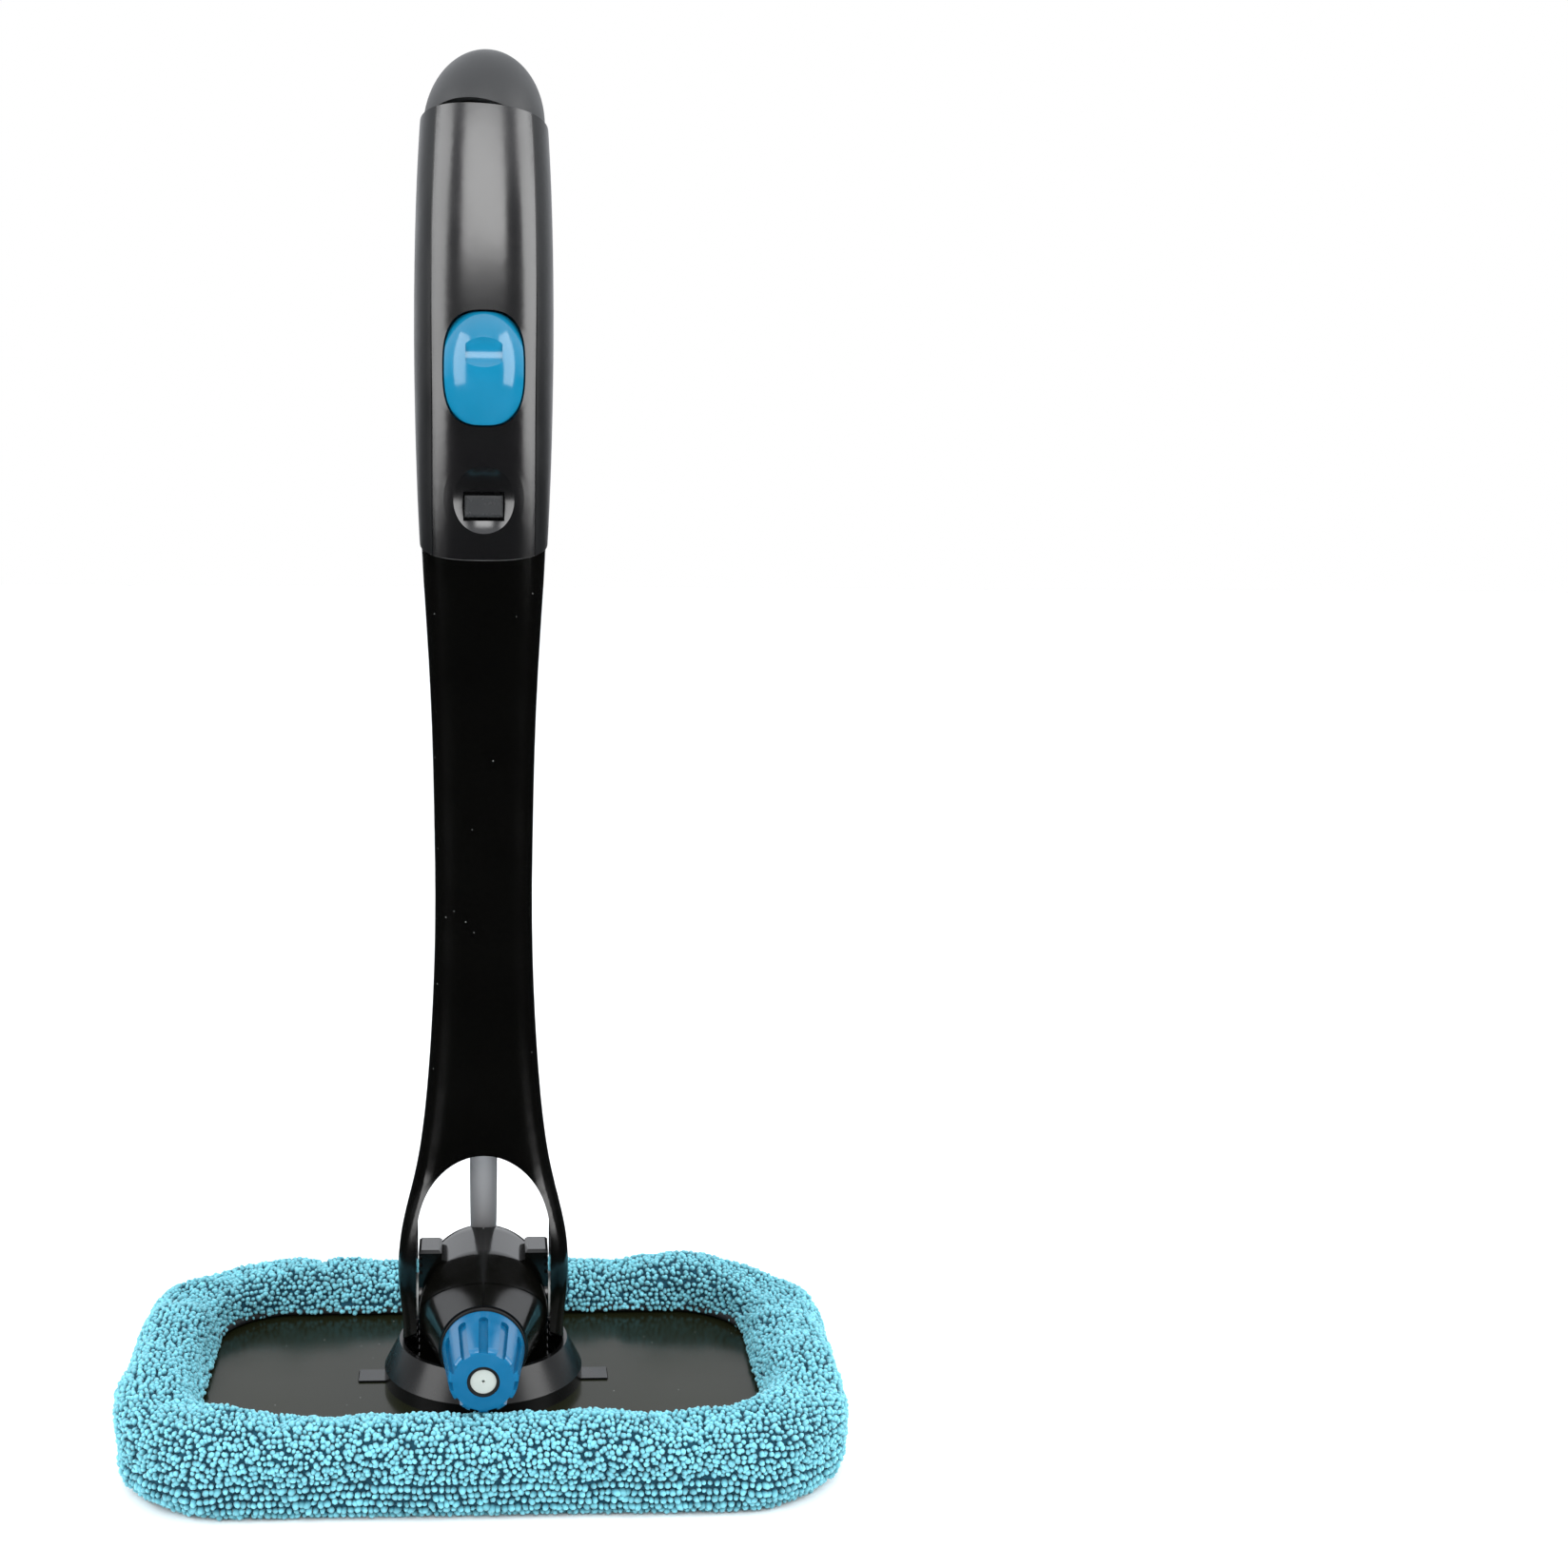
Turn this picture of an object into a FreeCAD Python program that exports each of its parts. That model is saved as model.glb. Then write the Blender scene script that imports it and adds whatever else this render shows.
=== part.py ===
import FreeCAD
import Part
import math
import os

from FreeCAD import Placement, Rotation
from FreeCAD import Vector as V

# Hand-held windscreen cleaning wand with a built-in washer pump, in millimetres.
# +Z is up, +X is to the right and the spray nozzle faces -Y. The bonnet rests on
# z = 0 and the origin is the centre of its rest face. The handle stands upright.

# --- driving dimensions: head -------------------------------------------------
PLATE_WIDTH = 180.0
PLATE_DEPTH = 106.0
BONNET_ROLL = 10.0
BONNET_WIDTH = PLATE_WIDTH + 2 * BONNET_ROLL
BONNET_DEPTH = PLATE_DEPTH + 2 * BONNET_ROLL
BONNET_HEIGHT = 24.4
BONNET_CORNER = 32.0
BONNET_SOLE = 5.0
BONNET_SHOULDER = 9.0
BONNET_FOOT_ROUND = 5.0
MOUTH_WIDTH = PLATE_WIDTH - 26.0
MOUTH_DEPTH = PLATE_DEPTH - 22.0
MOUTH_CORNER = 20.0
PLATE_CORNER = 16.0
PLATE_THICKNESS = 4.0
FOAM_THICKNESS = 4.2
FOAM_INSET = 1.0
CLOTH_GAP = 0.3
ELASTIC_DIAMETER = 2.4
ELASTIC_SETBACK = 3.5
COLLAR_RADIUS = 28.6
COLLAR_WALL_HEIGHT = 4.0
COLLAR_TOP_RADIUS = 24.3
COLLAR_HEIGHT = 12.1
COLLAR_LIP = 1.3
COLLAR_FOOT_REACH = 7.4
COLLAR_FOOT_WIDTH = 7.6
COLLAR_FOOT_THICKNESS = 1.0
COLLAR_FOOT_PROUD = 0.5
PANEL_GAP = 0.25

# --- driving dimensions: knuckle and nozzle -----------------------------------
PIVOT_RISE = 24.8
KNUCKLE_RADIUS = 18.4
KNUCKLE_WALL = 2.2
KNUCKLE_BACK = 8.0
KNUCKLE_BARREL = 8.0
SNOUT_END = 31.0
SNOUT_RADIUS = 12.4
SPRAY_DROOP = 2.0
SPRAY_DROP = 1.6
ELBOW_BACK = 19.0
NECK_HALF_WIDTH = 13.0
NECK_HALF_DEPTH = 13.5
CROSS_SCREWS = (-NECK_HALF_DEPTH + 3.1, NECK_HALF_DEPTH - 3.1)
BASE_DISC_RADIUS = 21.0
BASE_DISC_THICKNESS = 4.0
EAR_OUTER = KNUCKLE_RADIUS + 0.2
EAR_FRONT = 4.0
EAR_BACK = 7.4
EAR_RISE = 15.0
EAR_NOTCH = 1.1
EAR_NOTCH_PITCH = 2.2
PIN_RADIUS = 3.0
PIN_PLAY = 0.05
SEAM_WIDTH = 0.5
SEAM_DEPTH = 0.5
CAP_BACK_RADIUS = 11.4
CAP_FRONT_RADIUS = 9.3
CAP_LENGTH = 19.5
FLUTE_COUNT = 11
FLUTE_WIDTH = 2.5
FLUTE_DEPTH = 1.1
STEM_RADIUS = 6.4
JET_DISC_RADIUS = 3.5
JET_RING_RADIUS = 4.4
PINHOLE_RADIUS = 0.4

# --- driving dimensions: handle -----------------------------------------------
FORK_INNER = EAR_OUTER + 0.5
FORK_OUTER = FORK_INNER + 4.7
FORK_HALF_DEPTH = 11.5
FORK_END_RADIUS = FORK_HALF_DEPTH + 0.4
ARCH_SPRING = 20.0
ARCH_RISE = 25.4
CROTCH_Y = 3.5
JOINT_RISE = 217.0
GRIP_LENGTH = 108.5
JOINT_TILT = 16.0
END_TILT = 18.0
END_ROLL = 4.0
ARM_WALL = 2.6
GRIP_WALL = 2.2
GRIP_STEP = 0.45
PANEL_DEPTH = 3.9
SPIGOT_LENGTH = 24.0
COVER_HALF_WIDTH = 8.0
DOME_HEIGHT = 20.6
DOME_HALF_WIDTH = 15.9
DOME_HALF_DEPTH = 15.0
NOTCH_LENGTH = 20.0
NOTCH_HEIGHT = 1.4

# --- driving dimensions: controls, pump, tank and water line ------------------
BUTTON_WIDTH = 20.4
BUTTON_HEIGHT = 28.6
BUTTON_RISE = 46.5
BUTTON_PROUD = 5.0
BUTTON_GAP = 0.5
BUTTON_RIM = 1.1
BUTTON_TRAVEL = 5.0
LATCH_RISE = 11.2
DISH_RADIUS = 8.8
DISH_DEPTH = 3.4
LATCH_WINDOW_WIDTH = 10.8
LATCH_WINDOW_HEIGHT = 7.6
LATCH_TAB_WIDTH = 10.0
LATCH_TAB_HEIGHT = 5.6
BARREL_RADIUS = 6.5
BARREL_BORE = 5.3
BARREL_LENGTH = 15.5
BOSS_RADIUS = 2.4
BOSS_SPREAD = 5.8
TANK_WALL = 1.5
TANK_GAP = 0.4
TANK_NECK_RADIUS = 9.5
TANK_NECK_BORE = 8.0
TUBE_RADIUS = 2.0
TUBE_BORE = 1.2
HOSE_RADIUS = 3.5
HOSE_BORE = 2.0
HOSE_PLAY = 0.6
SCREW_RADIUS = 1.4
SCREW_HEAD_RADIUS = 2.7
SCREW_HEAD_HEIGHT = 1.8
SPRING_WIRE = 0.7
LATCH_WIRE = 0.8
RUNNING_GAP = 0.3
SLIDE_PLAY = 0.1
FIT = 0.02

# --- places worked out from the driving dimensions ----------------------------
PLATE_BOTTOM = BONNET_SOLE + FOAM_THICKNESS
PLATE_TOP = PLATE_BOTTOM + PLATE_THICKNESS
PIVOT_Z = PLATE_TOP + PIVOT_RISE
BASE_TOP = PLATE_TOP + BASE_DISC_THICKNESS
JOINT_Z = PIVOT_Z + JOINT_RISE
END_Z = JOINT_Z + GRIP_LENGTH
BUTTON_Z = JOINT_Z + BUTTON_RISE
LATCH_Z = JOINT_Z + LATCH_RISE
FORK_TOP = PIVOT_Z + ARCH_SPRING + ARCH_RISE + 5.6
WATER_Y = -6.8
BIG = 600.0

# Sections of the fork: height above the pivot, centre y, half width, half depth, squareness.
FORK_SECTIONS = (
    (-14.0, 0.0, FORK_OUTER, FORK_HALF_DEPTH, 4.0),
    (18.0, 0.0, FORK_OUTER, FORK_HALF_DEPTH, 4.0),
    (26.5, 0.4, FORK_OUTER - 1.7, FORK_HALF_DEPTH, 3.6),
    (37.0, 1.0, FORK_OUTER - 4.2, FORK_HALF_DEPTH, 3.2),
)
# Sections of the arm: share of the way from the fork to the joint, then as above.
ARM_SECTIONS = (
    (0.0, 1.6, 17.3, 11.6, 3.0),
    (0.13, 2.0, 15.3, 11.5, 2.8),
    (0.28, 1.0, 14.0, 11.2, 2.7),
    (0.46, -1.5, 13.6, 11.0, 2.7),
    (0.67, -5.0, 14.1, 11.6, 2.7),
    (0.85, -9.0, 15.3, 12.9, 2.7),
    (1.0, -12.0, 16.7, 14.8, 2.6),
    (1.07, -13.2, 17.2, 15.5, 2.6),
)
# Sections of the grip: share of the way from the joint to the end cap, then as above.
GRIP_SECTIONS = (
    (-0.08, -11.0, 16.6, 14.4, 2.6),
    (0.0, -12.0, 17.1, 15.1, 2.6),
    (0.2, -14.4, 17.9, 16.5, 2.5),
    (0.47, -16.2, 18.3, 17.5, 2.5),
    (0.74, -14.4, 18.0, 17.0, 2.5),
    (0.92, -11.6, 17.3, 16.0, 2.4),
    (1.08, -7.6, 16.2, 15.2, 2.3),
)


# --- small geometry helpers ---------------------------------------------------
def oval_points(half_a, half_b, power, count=28):
    """Points of a superellipse, from round (2) towards square (4)."""
    points = []
    for index in range(count):
        turn = 2 * math.pi * index / count
        across = math.cos(turn)
        along = math.sin(turn)
        a = half_a * math.copysign(abs(across) ** (2 / power), across)
        b = half_b * math.copysign(abs(along) ** (2 / power), along)
        points.append((a, b))
    return points


def closed_wire(points):
    curve = Part.BSplineCurve()
    curve.interpolate(Points=points, PeriodicFlag=True)
    return Part.Wire([curve.toShape()])


def loft(sections, shrink=0.0):
    """Solid through horizontal oval sections given as (z, y, half width, half depth, power)."""
    wires = []
    for height, y, half_width, half_depth, power in sections:
        outline = oval_points(half_width - shrink, half_depth - shrink, power)
        wires.append(closed_wire([V(a, y + b, height) for a, b in outline]))
    return Part.makeLoft(wires, True, False)


def oval_prism(width, height, power, y_start, y_end, z):
    """Oval bar along Y, centred on x = 0 at height z."""
    outline = oval_points(width / 2, height / 2, power)
    face = Part.Face(closed_wire([V(a, y_start, z + b) for a, b in outline]))
    return face.extrude(V(0, y_end - y_start, 0))


def block(x_range, y_range, z_range):
    low = V(x_range[0], y_range[0], z_range[0])
    return Part.makeBox(x_range[1] - x_range[0], y_range[1] - y_range[0], z_range[1] - z_range[0], low)


def rounded_block(width, depth, corner, z_low, z_high):
    """Upright block centred on the z axis, with round corners in plan."""
    shape = block((-width / 2, width / 2), (-depth / 2, depth / 2), (z_low, z_high))
    uprights = [edge for edge in shape.Edges if edge.BoundBox.ZLength > 0.5 * (z_high - z_low)]
    return shape.makeFillet(corner, uprights)


def rod(radius, start, end):
    """Round bar from one point to another."""
    axis = end.sub(start)
    return Part.makeCylinder(radius, axis.Length, start, axis)


def pipe(radius, bore, start, end):
    axis = end.sub(start)
    overrun = V(axis).normalize()
    return rod(radius, start, end).cut(rod(bore, start.sub(overrun), end.add(overrun)))


def turned(profile, place=Placement()):
    """Solid of revolution about Z, from (radius, height) points, then put in place."""
    points = [V(radius, 0, height) for radius, height in profile]
    face = Part.Face(Part.makePolygon(points + [points[0]]))
    shape = face.revolve(V(0, 0, 0), V(0, 0, 1), 360)
    shape.Placement = place.multiply(shape.Placement)
    return shape


def screw(start, direction, length):
    """Countersunk-free pan screw: the head sits at the start, the shank runs on from it."""
    axis = V(direction).normalize()
    seat = start.add(axis * SCREW_HEAD_HEIGHT)
    head = rod(SCREW_HEAD_RADIUS, start, seat)
    slot = rod(SCREW_RADIUS * 0.8, start, start.add(axis * (SCREW_HEAD_HEIGHT * 0.6)))
    return head.cut(slot).fuse(rod(SCREW_RADIUS, seat, start.add(axis * length)))


def coil(radius, wire, turns, start, direction, length):
    """Open compression spring, with its wire's centre line on a helix."""
    height = length - wire
    helix = Part.makeHelix(height / turns, height, radius)
    section = Part.Wire([Part.Circle(V(radius, 0, 0), V(0, 1, 0), wire / 2).toShape()])
    shape = Part.Wire(helix.Edges).makePipeShell([section], True, True)
    axis = V(direction).normalize()
    shape.Placement = Placement(start.add(axis * (wire / 2)), Rotation(V(0, 0, 1), axis))
    return shape


def smooth_tube(points, radius, bore):
    """Tube along straight runs joined by tangent arcs."""
    edges = []
    cursor = points[0]
    for before, corner, after in zip(points, points[1:], points[2:]):
        run_in = corner.sub(before)
        run_out = after.sub(corner)
        turn = run_in.getAngle(run_out)
        shorter = min(run_in.Length, run_out.Length)
        setback = 0.45 * shorter
        arc_radius = setback / math.tan(turn / 2)
        start = corner.sub(V(run_in).normalize() * setback)
        end = corner.add(V(run_out).normalize() * setback)
        inward = V(run_out).normalize().sub(V(run_in).normalize()).normalize()
        middle = corner.add(inward * (arc_radius / math.cos(turn / 2) - arc_radius))
        edges.append(Part.LineSegment(cursor, start).toShape())
        edges.append(Part.Arc(start, middle, end).toShape())
        cursor = end
    edges.append(Part.LineSegment(cursor, points[-1]).toShape())
    path = Part.Wire(edges)
    direction = points[1].sub(points[0])
    solids = []
    for size in (radius, bore):
        section = Part.Wire([Part.Circle(points[0], direction, size).toShape()])
        solids.append(path.makePipeShell([section], True, False))
    return solids[0].cut(solids[1])


def slab_above(point, turn):
    """Large block whose lower face passes through the point, turned with it."""
    shape = Part.makeBox(BIG, BIG, BIG, V(-BIG / 2, -BIG / 2, 0))
    shape.Placement = Placement(point, turn)
    return shape


def front_surface_y(solid, z):
    """Where a line along x = 0 at height z meets the front of a solid."""
    line = Part.makeLine(V(0, -BIG, z), V(0, 0, z))
    return line.common(solid).BoundBox.YMin


def single(shape):
    """The one solid of a result, or all of them as a compound."""
    if len(shape.Solids) == 1:
        return shape.Solids[0]
    return Part.Compound(shape.Solids)


def group(shapes):
    return Part.Compound([solid for shape in shapes for solid in shape.Solids])


# --- frames and master shapes -------------------------------------------------
SPRAY_AXIS = V(0, -math.cos(math.radians(SPRAY_DROOP)), -math.sin(math.radians(SPRAY_DROOP)))
SPRAY_ORIGIN = V(0, 0, PIVOT_Z - SPRAY_DROP)
SPRAY_PLACE = Placement(SPRAY_ORIGIN, Rotation(V(0, 0, 1), SPRAY_AXIS))


def along_spray(distance):
    return SPRAY_ORIGIN.add(SPRAY_AXIS * distance)


ELBOW = along_spray(-ELBOW_BACK)
HOSE_TOP = V(0, CROTCH_Y, FORK_TOP + 6.0)
HOSE_BEND = V(0, CROTCH_Y, FORK_TOP - 4.0)
HOSE_AXIS = HOSE_BEND.sub(ELBOW).normalize()


def handle_sections():
    lower = [(PIVOT_Z + rise, *rest) for rise, *rest in FORK_SECTIONS]
    span = JOINT_Z - FORK_TOP
    upper = [(FORK_TOP + share * span, *rest) for share, *rest in ARM_SECTIONS]
    return lower + upper


def grip_sections():
    return [(JOINT_Z + share * GRIP_LENGTH, *rest) for share, *rest in GRIP_SECTIONS]


def section_at(sections, z, item):
    """A section's value at a height, on a straight line between its neighbours."""
    for low, high in zip(sections, sections[1:]):
        if z <= high[0]:
            share = (z - low[0]) / (high[0] - low[0])
            return low[item] + share * (high[item] - low[item])
    return sections[-1][item]


ARM_OUTER = loft(handle_sections())
GRIP_OUTER = loft(grip_sections())
GRIP_INNER = loft(grip_sections(), GRIP_WALL)
GRIP_MIDDLE = loft(grip_sections(), GRIP_WALL / 2)
JOINT_POINT = V(0, section_at(grip_sections(), JOINT_Z, 1), JOINT_Z + 1.0)
END_POINT = V(0, section_at(grip_sections(), END_Z, 1), END_Z)
JOINT_TURN = Rotation(V(1, 0, 0), JOINT_TILT)
END_TURN = Rotation(V(0, 1, 0), END_ROLL).multiply(Rotation(V(1, 0, 0), -END_TILT))
END_AXIS = END_TURN.multVec(V(0, 0, 1))
END_PLACE = Placement(END_POINT, END_TURN)
ABOVE_JOINT = slab_above(JOINT_POINT, JOINT_TURN)
ABOVE_END = slab_above(END_POINT, END_TURN)
FACE_Y = front_surface_y(GRIP_OUTER, BUTTON_Z)
DISH_Y = front_surface_y(GRIP_OUTER, LATCH_Z)
FLANGE_Y = FACE_Y + 7.2
BARREL_FRONT = FLANGE_Y + 1.5 + 1.2 + BUTTON_TRAVEL + 0.3
BARREL_BACK = BARREL_FRONT + BARREL_LENGTH
SPIGOT_TOP = JOINT_Z + SPIGOT_LENGTH
SPIGOT_FACE_Y = DISH_Y + DISH_DEPTH + 2.9
TANK_FLOOR = BUTTON_Z + BUTTON_HEIGHT / 2 + 8.8
SCREW_PLACES = (
    (-BOSS_SPREAD, SPIGOT_TOP + 4.0),
    (BOSS_SPREAD, SPIGOT_TOP + 4.0),
    (-BOSS_SPREAD, TANK_FLOOR - 4.4),
    (BOSS_SPREAD, TANK_FLOOR - 4.4),
)


# --- head: bonnet, foam, plate and collar -------------------------------------
def bonnet():
    outer = rounded_block(BONNET_WIDTH, BONNET_DEPTH, BONNET_CORNER, 0, BONNET_HEIGHT)
    top = [edge for edge in outer.Edges if edge.BoundBox.ZMin > BONNET_HEIGHT - 0.01]
    outer = outer.makeFillet(BONNET_SHOULDER, top)
    foot = [edge for edge in outer.Edges if edge.BoundBox.ZMax < 0.01]
    outer = outer.makeFillet(BONNET_FOOT_ROUND, foot)
    gap = 2 * CLOTH_GAP
    room = rounded_block(PLATE_WIDTH + gap, PLATE_DEPTH + gap, PLATE_CORNER + CLOTH_GAP,
                         BONNET_SOLE, PLATE_TOP + CLOTH_GAP)
    mouth = rounded_block(MOUTH_WIDTH, MOUTH_DEPTH, MOUTH_CORNER, PLATE_TOP, BONNET_HEIGHT + 1)
    shape = outer.cut(room).cut(mouth)
    lip = [edge for edge in shape.Edges if edge.BoundBox.ZMin > BONNET_HEIGHT - 0.01
           and edge.BoundBox.XMin > -MOUTH_WIDTH / 2 - 0.1 and edge.BoundBox.XMax < MOUTH_WIDTH / 2 + 0.1
           and edge.BoundBox.YMin > -MOUTH_DEPTH / 2 - 0.1 and edge.BoundBox.YMax < MOUTH_DEPTH / 2 + 0.1]
    shape = shape.makeFillet(BONNET_SHOULDER * 0.7, lip)
    return single(shape.cut(elastic_channel()))


def elastic_channel():
    width = MOUTH_WIDTH + 2 * ELASTIC_SETBACK
    depth = MOUTH_DEPTH + 2 * ELASTIC_SETBACK
    reach = ELASTIC_DIAMETER + 2 * CLOTH_GAP
    corner = MOUTH_CORNER + ELASTIC_SETBACK
    top = PLATE_TOP + CLOTH_GAP + reach
    outside = rounded_block(width + reach, depth + reach, corner + reach / 2, PLATE_TOP, top)
    inside = rounded_block(width - reach, depth - reach, corner - reach / 2, PLATE_TOP - 1, top + 1)
    return outside.cut(inside)


def hem_elastic():
    width = MOUTH_WIDTH + 2 * ELASTIC_SETBACK
    depth = MOUTH_DEPTH + 2 * ELASTIC_SETBACK
    corner = MOUTH_CORNER + ELASTIC_SETBACK
    height = PLATE_TOP + CLOTH_GAP + ELASTIC_DIAMETER / 2
    plan = rounded_block(width, depth, corner, height, height + 10)
    rim = [edge for edge in plan.Edges if edge.BoundBox.ZMax < height + 0.01]
    path = Part.Wire(Part.__sortEdges__(rim))
    start = path.OrderedEdges[0].valueAt(path.OrderedEdges[0].FirstParameter)
    heading = path.OrderedEdges[0].tangentAt(path.OrderedEdges[0].FirstParameter)
    section = Part.Wire([Part.Circle(start, heading, ELASTIC_DIAMETER / 2).toShape()])
    return single(path.makePipeShell([section], True, True))


def foam_pad():
    width = PLATE_WIDTH - 2 * FOAM_INSET
    depth = PLATE_DEPTH - 2 * FOAM_INSET
    return rounded_block(width, depth, PLATE_CORNER - FOAM_INSET, BONNET_SOLE, PLATE_BOTTOM)


def collar_feet(grow, thickness):
    """The two flat feet that lie beside the collar, or the pockets that hold them."""
    reach = COLLAR_RADIUS + COLLAR_FOOT_REACH + grow
    half = COLLAR_FOOT_WIDTH / 2 + grow
    heights = (PLATE_TOP - thickness, PLATE_TOP + COLLAR_FOOT_PROUD)
    right = block((COLLAR_RADIUS - 3.0 - grow, reach), (-half, half), heights)
    left = block((-reach, 3.0 + grow - COLLAR_RADIUS), (-half, half), heights)
    return right.fuse(left)


def base_screw_places():
    spread = NECK_HALF_WIDTH - 5.0
    return [V(x, y, PLATE_BOTTOM) for x in (-spread, spread) for y in (-6.5, 6.5)]


def base_plate():
    shape = rounded_block(PLATE_WIDTH, PLATE_DEPTH, PLATE_CORNER, PLATE_BOTTOM, PLATE_TOP)
    rim = [edge for edge in shape.Edges if edge.BoundBox.ZMin > PLATE_TOP - 0.01]
    shape = shape.makeFillet(1.2, rim)
    shape = shape.cut(collar_feet(PANEL_GAP, COLLAR_FOOT_THICKNESS + 0.05))
    for place in base_screw_places():
        head = rod(SCREW_HEAD_RADIUS + 0.2, place.sub(V(0, 0, 1)), place.add(V(0, 0, SCREW_HEAD_HEIGHT)))
        hole = rod(SCREW_RADIUS + SLIDE_PLAY, place, place.add(V(0, 0, PLATE_THICKNESS + 1)))
        shape = shape.cut(head).cut(hole)
    return single(shape)


def base_screws():
    length = BASE_TOP - PLATE_BOTTOM + 8.0
    return group([screw(place, V(0, 0, 1), length) for place in base_screw_places()])


def collar_ring():
    bore = BASE_DISC_RADIUS + RUNNING_GAP
    profile = (
        (bore, PLATE_TOP),
        (COLLAR_RADIUS, PLATE_TOP),
        (COLLAR_RADIUS, PLATE_TOP + COLLAR_WALL_HEIGHT),
        (COLLAR_TOP_RADIUS, PLATE_TOP + COLLAR_HEIGHT),
        (COLLAR_TOP_RADIUS - COLLAR_LIP, PLATE_TOP + COLLAR_HEIGHT),
        (bore, BASE_TOP + 1.0),
    )
    shape = turned(profile).fuse(collar_feet(0, COLLAR_FOOT_THICKNESS))
    return single(shape.cut(knuckle_body(-RUNNING_GAP, SNOUT_END)))


def base_disc():
    top = V(0, 0, BASE_TOP)
    shape = rod(BASE_DISC_RADIUS, V(0, 0, PLATE_TOP), top)
    rim = [edge for edge in shape.Edges if edge.BoundBox.ZMin > BASE_TOP - 0.01]
    shape = shape.makeFillet(0.8, rim)
    for place in base_screw_places():
        shape = shape.cut(rod(SCREW_RADIUS + SLIDE_PLAY, place, V(place.x, place.y, BASE_TOP + 1)))
    return single(shape)


# --- head: knuckle ------------------------------------------------------------
def knuckle_body(inset, snout_end):
    """Domed barrel and snout as one solid, smaller all round by the inset."""
    radius = KNUCKLE_RADIUS - inset
    dome = Part.makeSphere(radius, V(0, 0, -KNUCKLE_BACK), V(0.8, 0.3, -0.5))
    barrel = Part.makeCylinder(radius, KNUCKLE_BACK + KNUCKLE_BARREL, V(0, 0, -KNUCKLE_BACK), V(0, 0, 1))
    length = SNOUT_END - KNUCKLE_BARREL
    snout = Part.makeCone(radius, SNOUT_RADIUS - inset, length, V(0, 0, KNUCKLE_BARREL), V(0, 0, 1))
    shape = dome.fuse(barrel).fuse(snout).removeSplitter()
    shoulder = [edge for edge in shape.Edges if abs(edge.BoundBox.ZMin - KNUCKLE_BARREL) < 0.01
                and edge.BoundBox.ZLength < 0.01]
    shape = shape.makeFillet(9.0, shoulder)
    if snout_end < SNOUT_END:
        shape = shape.cut(Part.makeBox(80, 80, 80, V(-40, -40, snout_end)))
    shape.Placement = SPRAY_PLACE.multiply(shape.Placement)
    return shape


def ears(side):
    x_range = (side * 12.0, side * EAR_OUTER)
    z_range = (BASE_TOP, PIVOT_Z + EAR_RISE)
    shape = block((min(x_range), max(x_range)), (-EAR_FRONT, EAR_BACK), z_range)
    notch_floor = side * (EAR_OUTER - EAR_NOTCH)
    groove = (min(notch_floor, side * BIG), max(notch_floor, side * BIG))
    for index in range(int(EAR_RISE / EAR_NOTCH_PITCH)):
        offset = 8.0 + index * EAR_NOTCH_PITCH
        for z in (PIVOT_Z + offset, PIVOT_Z - offset):
            if BASE_TOP + 3.0 < z < PIVOT_Z + EAR_RISE - 2.0:
                shape = shape.cut(block(groove, (-BIG, BIG), (z, z + EAR_NOTCH)))
    return shape


def knuckle_whole():
    outer = knuckle_body(0, SNOUT_END)
    depth = (-NECK_HALF_DEPTH, NECK_HALF_DEPTH)
    neck = block((-NECK_HALF_WIDTH, NECK_HALF_WIDTH), depth, (BASE_TOP, PIVOT_Z))
    cavity = knuckle_body(KNUCKLE_WALL, SNOUT_END - 3.5)
    shape = outer.fuse(neck).fuse(ears(1)).fuse(ears(-1))
    rims = [edge for edge in shape.Edges if edge.BoundBox.ZMin > PIVOT_Z + EAR_RISE - 0.01]
    shape = shape.makeChamfer(0.8, rims)
    shape = shape.cut(cavity)
    for side in (-1, 1):
        inner_end = V(side * 11.5, 0, PIVOT_Z)
        outer_end = V(side * EAR_OUTER, 0, PIVOT_Z)
        shape = shape.fuse(rod(PIN_RADIUS + 2.6, inner_end, outer_end))
    bore = PIN_RADIUS + PIN_PLAY
    shape = shape.cut(rod(bore, V(-40, 0, PIVOT_Z), V(-11, 0, PIVOT_Z)))
    shape = shape.cut(rod(bore, V(11, 0, PIVOT_Z), V(40, 0, PIVOT_Z)))
    shape = shape.cut(rod(HOSE_RADIUS + HOSE_PLAY, ELBOW, ELBOW.add(HOSE_AXIS * 40)))
    shape = shape.cut(rod(STEM_RADIUS + 0.6, along_spray(5), along_spray(SNOUT_END + 5)))
    for place in base_screw_places():
        shape = shape.cut(rod(SCREW_RADIUS + FIT, place, V(place.x, place.y, BASE_TOP + 8.2)))
    return shape


def knuckle_seams():
    """The upright seam between the halves and the slanting bead round the dome's front."""
    skin = knuckle_body(0, SNOUT_END).cut(knuckle_body(SEAM_DEPTH, SNOUT_END))
    upright = skin.common(block((-SEAM_WIDTH / 2, SEAM_WIDTH / 2), (-60, 60), (0, 120)))
    slab = Part.makeBox(80, 60, 0.45, V(-40, 0, 0))
    slab.Placement = Placement(V(0, -8, PIVOT_Z - 1), Rotation(V(1, 0, 0), 136))
    return upright.fuse(skin.common(slab))


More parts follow.
